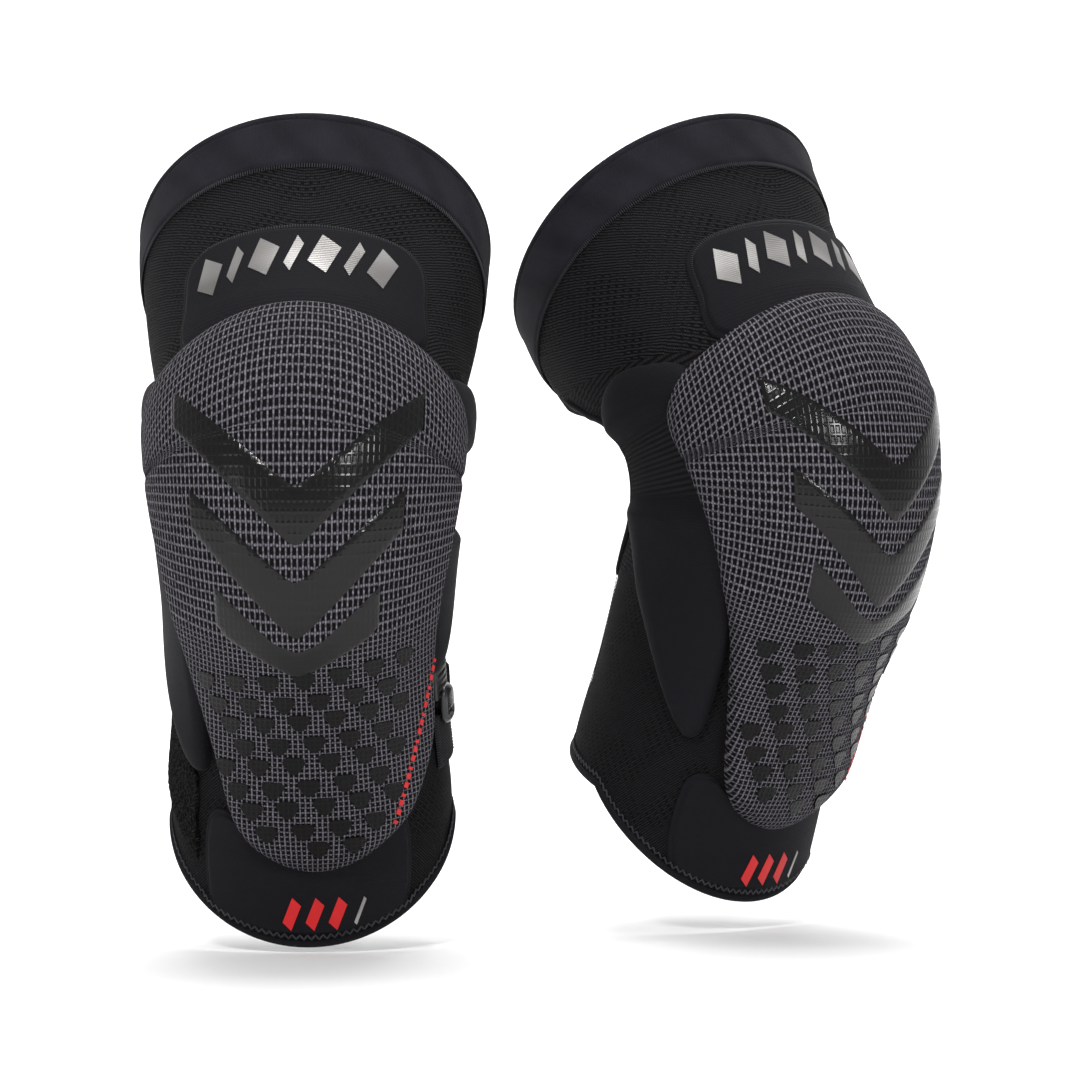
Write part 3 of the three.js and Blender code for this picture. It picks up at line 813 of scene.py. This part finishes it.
def declare_cloth(phis, lines):
    """Measures a piece of cloth's mean width round the leg and mean length along it; the result is not kept."""
    width, length = surface_size(phis, lines)


def surface_ripple(phi, s, amount):
    """Long shallow waves that keep the knit from looking like a shell."""
    wave = math.sin(phi * 0.11 + s * 0.045) * math.sin(s * 0.07 - phi * 0.05 + 1.3)
    return amount * wave


def make_sleeve(guard):
    front = (-BACK_SEAM_PHI, BACK_SEAM_PHI)
    back = (BACK_SEAM_PHI, 360 - BACK_SEAM_PHI)
    zones = {
        "thigh": (knee_zone, lambda phi: cuff_seam(phi) + SEAM_OVERLAP, 30),
        "calf": (lambda phi: hem_line(phi) + BINDING_WIDTH / 2, lambda phi: -knee_zone(phi), 46),
    }

    def height(phi, s, x, y):
        return KNIT + surface_ripple(phi, s, RIPPLE)

    for zone, (low, high, rows) in zones.items():
        mesh_panel = panel(guard, f"{zone}_knit", f"{zone}_mesh", front,
                           (low, high), height, KNIT, 130, rows)
        guard.bend(mesh_panel, f"{zone}_mesh_panel")
        declare_cloth(front, (low, high))
        back_panel = panel(guard, f"{zone}_back_knit", "ribbed_knit", back,
                           (low, high), height, KNIT, 48, rows)
        guard.bend(back_panel, f"{zone}_back_panel")
        declare_cloth(back, (low, high))

    def opening(y):
        edge = mix(KNEE_OPEN_PHI, BACK_SEAM_PHI, (2 * y - 1) ** 2)
        return -edge, edge

    lines = (lambda phi: -knee_zone(phi), knee_zone)
    knee = panel(guard, "knee_knit", "stretch_knit", opening, lines,
                 lambda phi, s, x, y: KNIT + 0.35 * math.sin(s * 2.6), KNIT, 110, 60)
    guard.bend(knee, "knee_stretch_panel")
    declare_cloth(opening, lines)

    for name, hand in (("near", -1), ("far", 1)):
        def edge_path(t, hand=hand):
            phi = mix(KNEE_OPEN_PHI, BACK_SEAM_PHI, (2 * t - 1) ** 2)
            return hand * phi, mix(-knee_zone(phi), knee_zone(phi), t), KNIT + 0.6

        guard.bend(round_cord(guard, f"{name}_knee_binding", "neoprene", edge_path, 1.5, 1.2, 70))
        zone_top = knee_zone(BACK_SEAM_PHI)
        seams = {"thigh": (zone_top, cuff_seam(BACK_SEAM_PHI)),
                 "calf": (hem_line(BACK_SEAM_PHI) + 5, -zone_top)}
        for zone, (low, high) in seams.items():
            rows = [lambda t, off=off, hand=hand, low=low, high=high:
                    (hand * (BACK_SEAM_PHI + off), mix(low, high, t), KNIT + 0.5) for off in SEAM_ROWS]
            guard.bend(stitches(guard, f"{name}_{zone}_seam", rows, SEAM_PITCH, SEAM_STITCH))


def make_bands(guard):
    """The elastic cuff, the two bindings and the two silicone grip bands inside."""
    turn = (-180, 180)

    def cuff_height(phi, s, x, y):
        edge = 0.9 * (1 - roll_over(min(y, 1 - y) * CUFF_BAND, 2.0))
        return CUFF_FABRIC + 0.5 - edge + surface_ripple(phi, s, 0.45)

    cuff_lines = (lambda phi: cuff_seam(phi) + 0.6, lambda phi: rim_line(phi) - BINDING_WIDTH + 1)
    cuff = panel(guard, "cuff_band", "cuff_elastic", turn, cuff_lines, cuff_height,
                 CUFF_FABRIC, 180, 20)
    guard.ride(cuff, "thigh", "top_cuff")
    declare_cloth(turn, (cuff_seam, lambda phi: rim_line(phi) - BINDING_WIDTH))

    def ring(line, h):
        return lambda t: (360 * t - 180, line(360 * t - 180), h)

    half = BINDING_WIDTH / 2
    rim = round_cord(guard, "cuff_rim", "cuff_elastic",
                     ring(lambda phi: rim_line(phi) - half, 1.5), half, 1.5, 180, 12, True)
    guard.ride(rim, "thigh", "cuff_binding")
    hem = round_cord(guard, "hem_edge", "neoprene",
                     ring(lambda phi: hem_line(phi) + half, 1.5), half, 1.6, 180, 12, True)
    guard.ride(hem, "shin", "hem_binding")

    def grip_height(phi, s, x, y):
        return -0.5 - 0.35 * (0.5 + 0.5 * math.cos(2 * math.pi * y * 4))

    grips = (
        ("cuff_grip", "cuff_gripper", "thigh", lambda phi: rim_line(phi) - GRIPPER_INSET - GRIPPER_WIDTH),
        ("hem_grip", "hem_gripper", "shin", lambda phi: hem_line(phi) + GRIPPER_INSET),
    )
    for name, node, part, low in grips:
        band = panel(guard, name, "silicone", turn,
                     (low, lambda phi, low=low: low(phi) + GRIPPER_WIDTH), grip_height, 0.6, 120, 24)
        guard.ride(band, part, node)

    overlock = stitches(guard, "cuff_overlock", [ring(lambda phi: cuff_seam(phi) - 0.4, KNIT + 0.9)],
                        OVERLOCK_PITCH, CUFF_OVERLOCK)
    guard.ride(overlock, "thigh")

    def zigzag(t):
        phi = 360 * t - 180
        tooth = 2 * abs((t * HEM_TEETH) % 1 - 0.5)
        return phi, hem_line(phi) + BINDING_WIDTH + 0.8 + HEM_TOOTH * tooth, KNIT + 0.7 + hem_lift(phi)

    hem_stitch = round_cord(guard, "hem_zigzag", "thread", zigzag, 0.45, 0.4, HEM_TEETH * 4, 6, True)
    guard.ride(hem_stitch, "shin")


def hem_lift(phi):
    """How far the lower front panel lifts the hem's stitching off the knit."""
    return (NEOPRENE - 0.5) * (1 - ease(abs(phi), PANEL_PHI - 4, PANEL_PHI + 4))


# ---------------------------------------------------------------- the front panels

def upper_panel_outline():
    corner = PANEL_PHI
    right = [(30, PANEL_TOP_S - 2.4), (corner - 6, PANEL_TOP_S - 6), (corner, PANEL_TOP_S - 14),
             (corner + 3, PANEL_TOP_S - 32), (corner + 5, PANEL_TOP_S - 48), (corner - 8, PANEL_TOP_S - 54),
             (16, PANEL_TOP_S - 50)]
    return both_sides((0, PANEL_TOP_S), right, (0, PANEL_TOP_S - 49), (0, PANEL_TOP_S - 27))


def lower_panel_outline():
    def low(phi):
        return hem_line(phi) + BINDING_WIDTH - 0.5

    right = [(20, low(20)), (PANEL_PHI - 5, low(PANEL_PHI - 5)), (PANEL_PHI - 1, low(PANEL_PHI) + 5),
             (PANEL_PHI, -166), (PANEL_PHI - 1, -150), (PANEL_PHI - 4, -141), (PANEL_PHI - 12, -139),
             (18, -152)]
    return both_sides((0, low(0)), right, (0, -156), (0, -176))


def make_front_panels(guard):
    def raised(phi, s, inset):
        flange = 1.2 * roll_over(inset, 1.2)
        body = (NEOPRENE - 1.0) * ease(inset, 2.6, 4.6)
        return KNIT + 0.1 + flange + body

    outline = upper_panel_outline()
    upper = patch(guard, "upper_neoprene", "neoprene", outline, raised, 1.0, 34, 160)
    guard.bend(upper, "upper_front_panel")
    flange_inset = 1 - 2.2 / 40

    def around(t):
        phi, s, _ = outline.inside(t, flange_inset)
        return phi, s, KNIT + 1.3

    guard.bend(stitches(guard, "upper_overlock", [around], OVERLOCK_PITCH, PANEL_OVERLOCK))

    lower = patch(guard, "lower_neoprene", "neoprene", lower_panel_outline(), raised, 1.0,
                  34, 160)
    guard.ride(lower, "shin", "lower_front_panel")


# ---------------------------------------------------------------- the pad and its wings

def pad_outline():
    top = [(0, 28), (8, 14), (26, 7), (50, 2)]
    far = [(4, 156), (8, 140), (13, 123), (17, 90), (20, 60), (29, 37), (39, 20), (55, 5)]
    near = [(62, 6), (51, 20), (41, 55), (30, 90), (17, 125), (6, 154)]
    points = [(0, PAD_TOP_S)]
    points += [(PAD_PHI - inset, PAD_TOP_S - drop) for inset, drop in reversed(top)]
    points += [(PAD_PHI - inset, PAD_BOTTOM_S + rise) for inset, rise in far]
    points += [(3, PAD_BOTTOM_S)]
    points += [(inset - PAD_PHI, PAD_BOTTOM_S + rise) for inset, rise in near]
    points += [(inset - PAD_PHI, PAD_TOP_S - drop) for inset, drop in top]
    return Outline(points, PAD_MIDDLE)


PAD = pad_outline()


def dart_depth(phi, s):
    """The dart sewn into each flank of the cover, where the cup meets the shin plate."""
    away = (s - pad_seam(phi)) / DART_WIDTH
    return DART_DEPTH * math.exp(-away * away) * ease(abs(phi), 26, 66)


def pad_height(phi, s, inset):
    full = PAD_EDGE_HEIGHT + pad_swell(phi, s)
    rolled = mix(KNIT + 0.8, full, roll_over(inset, PAD_ROLL))
    return rolled - dart_depth(phi, s)


def cover_rows(phi, s):
    """Over the cup the rows of thread arch with its rim, and below the darts they run level."""
    cup = ease(s, pad_seam(phi) - 1, pad_seam(phi) + 1)
    return s + cup * 26 * (phi / PAD_PHI) ** 2 - (1 - cup) * 5 * (phi / PAD_PHI) ** 2


def on_cover(bm):
    """Puts the cover's own thread directions into the cloth coordinates of what is laid on the pad."""
    u_layer, v_layer = bm.verts.layers.float["cloth_u"], bm.verts.layers.float["cloth_v"]
    for v in bm.verts:
        v[v_layer] = cover_rows(v[u_layer] / ARC, v[v_layer])


def make_pad(guard):
    bm = new_grid(84, 320)

    def place(x, y):
        phi, s, inset = PAD.inside(y, 1 - (1 - x) ** 1.5)
        return phi, s, pad_height(phi, s, inset)

    lay(bm, place)
    on_cover(bm)
    cover = finish_piece(bm, "pad_cover", guard, "pad_knit", 1.2)
    guard.bend(cover, "knee_cover", "shin_cover")

    def foam_height(phi, s, inset):
        return max(KNIT + 1.3, pad_height(phi, s, inset) - 1.6)

    inner = [(p * FOAM_SHARE, mix(PAD_MIDDLE[1], s, FOAM_SHARE)) for p, s in PAD.line[::24]]
    foam = patch(guard, "pad_foam", "foam", Outline(inner, PAD_MIDDLE), foam_height, 0.0, 40, 120,
                 base=FOAM_BASE)
    guard.bend(foam, "knee_foam", "shin_foam")


def wing_points(long):
    outer = [(64, 30), (76, 38), (88, 43), (98, 41), (105, 33), (107, 22), (105, 11), (102, 0), (103, -11),
             (106, -21), (104, -36)]
    if long:
        lower = [(92, -62), (75, -90), (60, -112), (50, -122), (44, -118), (44, -100), (48, -70)]
    else:
        lower = [(93, -56), (80, -72), (70, -80), (62, -78), (58, -64)]
    return outer + lower + [(56, -40), (60, -10), (62, 12)]


def wing_height(phi, s, inset):
    """Two soft lobes with a ribbed waist between them that stretches as the knee bends."""
    low, high = WING_WAIST
    lobes = ease(s, high - 3, high + 8) + ease(-s, -low - 1, -low + 9)
    lobe = KNIT + 1.5 + 6.0 * roll_over(inset, 16) ** 0.9
    waist = KNIT + 1.7
    return mix(waist, lobe, min(1.0, lobes)) - 1.2 * (1 - roll_over(inset, 1.5))


def make_wings(guard):
    for name, hand, long in (("near", -1, True), ("far", 1, False)):
        middle_phi, middle_s = WING_MIDDLE
        middle = (hand * middle_phi, middle_s)
        outline = Outline(mirrored(wing_points(long), hand), middle)
        cover = patch(guard, f"{name}_wing", "wing_neoprene", outline, wing_height, 0.9, 60, 200)
        guard.bend(cover, f"{name}_upper_wing_cover", f"{name}_lower_wing_cover")
        drawn_in = [(mix(middle_phi, p, 0.93), mix(middle_s, s, 0.96)) for p, s in wing_points(long)]
        inner = Outline(mirrored(drawn_in, hand), middle)
        foam = patch(guard, f"{name}_wing_foam_core", "foam", inner,
                     lambda phi, s, inset: max(KNIT + 0.9, wing_height(phi, s, inset + 2) - 1.3), 0.0, 24, 90,
                     base=FOAM_BASE)
        guard.bend(foam, f"{name}_upper_wing_foam", f"{name}_lower_wing_foam")


# ---------------------------------------------------------------- the strap

def strap_middle(phi):
    fall = (phi + STRAP_DROP_PHI) / (STRAP_DROP_PHI + STRAP_STARTS["left"])
    return STRAP_S - STRAP_DROP * max(0.0, min(1.0, fall))


def make_strap(guard):
    start, end = STRAP_STARTS[guard.side], STRAP_END_PHI - 360

    def strap_height(phi, s, x, y):
        pile = 0.35 * math.sin(phi * 3.1 + s * 2.3) * math.sin(s * 3.7 - phi * 1.9)
        edge = 0.8 * (1 - roll_over(min(y, 1 - y) * STRAP_WIDTH, 1.5))
        return KNIT + STRAP_RISE + pile - edge

    lines = (lambda phi: strap_middle(phi) - STRAP_WIDTH / 2, lambda phi: strap_middle(phi) + STRAP_WIDTH / 2)
    strap = panel(guard, "loop_strap", "loop_fabric", (start, end), lines, strap_height, 1.8,
                  int((start - end) * 1.1), 36)
    guard.ride(strap, "shin", "calf_strap")
    declare_cloth((end, start), lines)

    top = STRAP_S
    webbing = panel(guard, "hook_webbing", "webbing", (WEBBING_FRONT_PHI, STRAP_END_PHI - 0.5),
                    (lambda phi: top - WEBBING_WIDTH, lambda phi: top),
                    lambda phi, s, x, y: KNIT + STRAP_RISE + 0.25 * math.cos(2 * math.pi * s / 1.25)
                    - 0.6 * (1 - roll_over(min(x, 1 - x) * 30, 2)), 1.7, 60, 96)
    guard.ride(webbing, "shin", "strap_webbing")
    edge_rows = [lambda t, p=p: (p, mix(top - WEBBING_WIDTH + 1, top - 1, t), KNIT + 2.9)
                 for p in (WEBBING_FRONT_PHI + 2, STRAP_END_PHI - 3)]
    guard.ride(stitches(guard, "webbing_stitches", edge_rows, WEBBING_STITCH_PITCH, WEBBING_STITCH), "shin")

    foot = top - HOOK_OVERLAP
    tip = foot + HOOK_LENGTH
    first, last = HOOK_FRONT_PHI, HOOK_FRONT_PHI + HOOK_SPAN_PHI
    ladder_low = tip - HOOK_OVERLAP

    def rungs(phi, s, x, y):
        rung = ease(math.cos(2 * math.pi * (s - ladder_low) / 3.2), -0.3, 0.4)
        window = ease(min(x, 1 - x), 0.14, 0.22)
        return KNIT + 3.2 - 1.3 * window * (1 - rung) - 0.8 * (1 - roll_over(min(x, 1 - x) * 17, 1.2))

    ladder = panel(guard, "rubber_ladder", "black_rubber", (first - 2, last + 1),
                   (lambda phi: ladder_low, lambda phi: ladder_low + LADDER_LENGTH), rungs, 1.2, 40, 64)
    guard.ride(ladder, "shin", "hook_ladder")

    middle_phi, middle_s = (first + last) / 2, (foot + tip) / 2
    half_phi, half_s = HOOK_SPAN_PHI / 2, HOOK_LENGTH / 2
    oval = Outline([(middle_phi + half_phi * math.copysign(abs(math.sin(a)) ** 0.7, math.sin(a)),
                     middle_s + half_s * math.copysign(abs(math.cos(a)) ** 0.7, math.cos(a)))
                    for a in (2 * math.pi * k / 16 for k in range(16))], (middle_phi, middle_s))

    def hook_height(phi, s, inset):
        bar = ease(abs(s - middle_s + 3.5), 1.2, 2.4)
        slot = 1.3 * (1 - bar) * ease(inset, 2.2, 3.4)
        return 5.2 + 2.6 * roll_over(inset, 3.2) - slot

    hook = patch(guard, "plastic_hook", "grey_plastic", oval, hook_height, 1.6, 40, 96)
    guard.ride(hook, "hook", "strap_hook")

    def tail_height(phi, s, x, y):
        raised = mix(4.4, 6.4, ease(phi, TAIL_ROOT_PHI, TAIL_FRONT_PHI))
        edge = 0.6 * (1 - roll_over(min(y, 1 - y) * TAIL_WIDTH, 1.5))
        return raised + 0.25 * math.sin(phi * 4) * math.sin(s * 3) - edge

    tail_end_phi = TAIL_FRONT_PHI + TAIL_SPAN_PHI
    tail = panel(guard, "pull_tail", "loop_fabric", (TAIL_ROOT_PHI, tail_end_phi),
                 (lambda phi: STRAP_S - tail_half(phi), lambda phi: STRAP_S + tail_half(phi)), tail_height,
                 1.4, 90, 50)
    root, hinge = (guard.place @ on_leg(phi, STRAP_S, 5) for phi in (TAIL_ROOT_PHI, TAIL_FRONT_PHI + 2))
    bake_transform(tail, f"{guard.side}_shin", f"{guard.side}_tail", start=root, end=hinge)
    guard.stands_for(tail, "strap_tail")


def tail_half(phi):
    """The tail's end is rounded off."""
    left = TAIL_FRONT_PHI + TAIL_SPAN_PHI - phi
    return TAIL_WIDTH / 2 * (0.55 + 0.45 * roll_over(left, 9))


# ---------------------------------------------------------------- prints

def pad_surface(phi, s, lift):
    """The height of the pad cover well inside its edge, with something printed on it."""
    return PAD_EDGE_HEIGHT + pad_swell(phi, s) - dart_depth(phi, s) + lift


def make_chevrons(guard):
    """Three nested chevrons of thick gloss print over the knee."""
    for number, (middle, reach, drop) in enumerate(CHEVRONS, 1):
        bm = new_grid(96, 10)

        def place(x, y, middle=middle, reach=reach, drop=drop):
            t = 2 * x - 1
            phi = reach * t
            fold = math.sqrt(t * t + 0.003)
            s = middle - drop + drop * fold + (y - 0.5) * CHEVRON_WIDTH * (1 - 0.25 * abs(t))
            edge = min(min(y, 1 - y) * CHEVRON_WIDTH, (1 - abs(t)) * reach * ARC)
            return phi, s, pad_surface(phi, s, 0.15 + 0.55 * roll_over(edge, 0.9))

        lay(bm, place)
        on_cover(bm)
        guard.bend(finish_piece(bm, f"gloss_chevron_{number}", guard, "black_print", 0.5))


def make_grip_dots(guard):
    """A slanted field of small rounded triangles of gloss print down the shin."""
    bm = bmesh.new()
    u_layer = bm.verts.layers.float.new("cloth_u")
    v_layer = bm.verts.layers.float.new("cloth_v")
    for row in range(DOT_ROWS):
        for column in range(-3, 4):
            phi = 2 + column * DOT_STEP_PHI - row * 1.2 + (DOT_STEP_PHI / 2 if row % 2 else 0)
            s = -62 - row * DOT_ROW_STEP + 2.0 * column * 0.9
            edge = 47 - max(0, row - 4) * 4.5
            to_edge = min(math.hypot((phi - p) * ARC, s - q) for p, q in PAD.line)
            if abs(phi - 3) > edge - 9 or s < -150 or to_edge < DOT_MARGIN:
                continue
            made = bmesh.ops.create_circle(bm, cap_ends=True, cap_tris=True, segments=18, radius=1.0)
            for v in made["verts"]:
                turn = math.atan2(v.co.y, v.co.x)
                lobe = 1 + 0.16 * math.cos(3 * (turn + math.pi / 2))
                size = DOT_SIZE * lobe * min(1.0, v.co.length)
                at_phi = phi + size * math.cos(turn) / ARC
                at_s = s + size * math.sin(turn)
                v[u_layer], v[v_layer] = at_phi * ARC, at_s
                v.co = on_leg(at_phi, at_s, pad_surface(at_phi, at_s, 0.55))
    on_cover(bm)
    guard.bend(finish_piece(bm, "grip_dots", guard, "dot_print", 0.6, 0.0))


def strip(first, last, width, surface, steps, slant=0.0):
    """A printed bar from one (phi, s) to another."""
    (phi0, s0), (phi1, s1) = first, last
    length = math.hypot((phi1 - phi0) * ARC, s1 - s0)
    along = ((phi1 - phi0) * ARC / length, (s1 - s0) / length)

    def place(x, y):
        run, off = x * length + slant * (y - 0.5), (y - 0.5) * width
        phi = phi0 + (along[0] * run - along[1] * off) / ARC
        s = s0 + along[1] * run + along[0] * off
        return phi, s, surface(phi, s)

    own = new_grid(steps, 3)
    lay(own, place)
    return own


def join_grids(grids):
    """One mesh from several laid grids."""
    joined = grids[0]
    for other in grids[1:]:
        spare = bpy.data.meshes.new("spare")
        other.to_mesh(spare)
        other.free()
        joined.from_mesh(spare)
        bpy.data.meshes.remove(spare)
    return joined


def make_marks(guard):
    """Slanted silver bars on the upper panel, slashes on the lower one, and a red dashed line on the side."""
    def panel_top(phi, s):
        return KNIT + NEOPRENE + 0.55

    def on_pad(phi, s):
        return pad_surface(phi, s, 0.45)

    def on_line(t):
        return tuple(mix(low, high, t) for low, high in zip(LINE_LOW, LINE_HIGH))

    bars = []
    for k in range(BAR_COUNT):
        phi = -36 + k * BAR_STEP_PHI
        s = BAR_S - 0.0035 * (phi + 2) ** 2
        bars.append(strip((phi, s), (phi + 4.5, s + 16), 9.4 if k % 2 == 0 else 4.0, panel_top, 12, 4.0))
    silver = finish_piece(join_grids(bars), "silver_bars", guard, "silver_print", 0.4, 0.0)
    guard.bend(silver, "upper_badge")

    slashes = [strip((phi, SLASH_LOW), (phi + 4, SLASH_HIGH), 5.2, panel_top, 8, 2.2) for phi in (-8, 1, 10)]
    red = finish_piece(join_grids(slashes), "red_slashes", guard, "red_print", 0.3, 0.0)
    guard.ride(red, "shin")
    small = finish_piece(strip((19, SLASH_LOW + 0.5), (23, SLASH_HIGH + 0.5), 1.6, panel_top, 8, 0.8),
                         "silver_slash", guard, "silver_print", 0.3, 0.0)
    guard.ride(small, "shin")

    dashes = []
    for k in range(LINE_DASHES):
        start = on_line(k / LINE_DASHES)
        end = on_line((k + (0.62 if k % 3 else 0.35)) / LINE_DASHES)
        dashes.append(strip(start, end, 2.1, on_pad, 4, 0.5))
    guard.bend(finish_piece(join_grids(dashes), "red_side_line", guard, "red_print", 0.3, 0.0))


# ---------------------------------------------------------------- the stage

def make_floor():
    """A pale floor that curves up into the backdrop."""
    bm = bmesh.new()
    bmesh.ops.create_grid(bm, x_segments=1, y_segments=48, size=0.5)
    for v in bm.verts:
        run = FLOOR_FRONT + (v.co.y + 0.5) * FLOOR_RUN
        angle = max(0.0, min(math.pi / 2, (run - COVE_START) / COVE_RADIUS))
        past = max(0.0, run - COVE_START - COVE_RADIUS * math.pi / 2)
        y = min(run, COVE_START) + COVE_RADIUS * math.sin(angle)
        z = COVE_RADIUS * (1 - math.cos(angle)) + past
        v.co = Vector((v.co.x * FLOOR_WIDTH + 0.1, y, cad_box[0][2] - FLOOR_DROP + z))
    mesh = bpy.data.meshes.new("floor")
    bm.to_mesh(mesh)
    bm.free()
    mesh.polygons.foreach_set("use_smooth", [True] * len(mesh.polygons))
    r = Recipe("floor_paint", 0.9)
    r.colour(r.shade(r.noise(r.object_place(), 30.0, 2.0), (0.93, 0.93, 0.93), (0.95, 0.95, 0.95)))
    mesh.materials.append(r.material)
    put_in_scene("floor", mesh)


def make_studio():
    """Soft lights all round and a level camera in front of the pair."""
    world = bpy.data.worlds.new("studio")
    world.use_nodes = True
    background = world.node_tree.nodes["Background"]
    background.inputs["Color"].default_value = (1, 1, 1, 1)
    background.inputs["Strength"].default_value = WORLD_LIGHT
    bpy.context.scene.world = world

    for name, place, size, power in LIGHTS:
        light = bpy.data.lights.new(name, "AREA")
        light.size = size
        light.energy = power
        lamp = put_in_scene(name, light)
        lamp.location = place
        aim = Vector(WASH_AIM if name == "backdrop_wash" else LIGHT_AIM)
        lamp.rotation_euler = (aim - Vector(place)).to_track_quat("-Z", "Y").to_euler()

    camera = bpy.data.cameras.new("camera")
    camera.sensor_width = SENSOR_WIDTH
    camera.lens = SENSOR_WIDTH * CAMERA_DISTANCE / VIEW_WIDTH
    holder = put_in_scene("camera", camera)
    holder.location = (CAMERA_X, -CAMERA_DISTANCE, CAMERA_Z)
    holder.rotation_euler = (math.pi / 2, 0, 0)
    bpy.context.scene.camera = holder
    bpy.context.scene.view_settings.view_transform = "Standard"


for side in ("left", "right"):
    knee_guard = Guard(side)
    make_sleeve(knee_guard)
    make_bands(knee_guard)
    make_front_panels(knee_guard)
    make_pad(knee_guard)
    make_wings(knee_guard)
    make_strap(knee_guard)
    make_chevrons(knee_guard)
    make_grip_dots(knee_guard)
    make_marks(knee_guard)
make_floor()
make_studio()
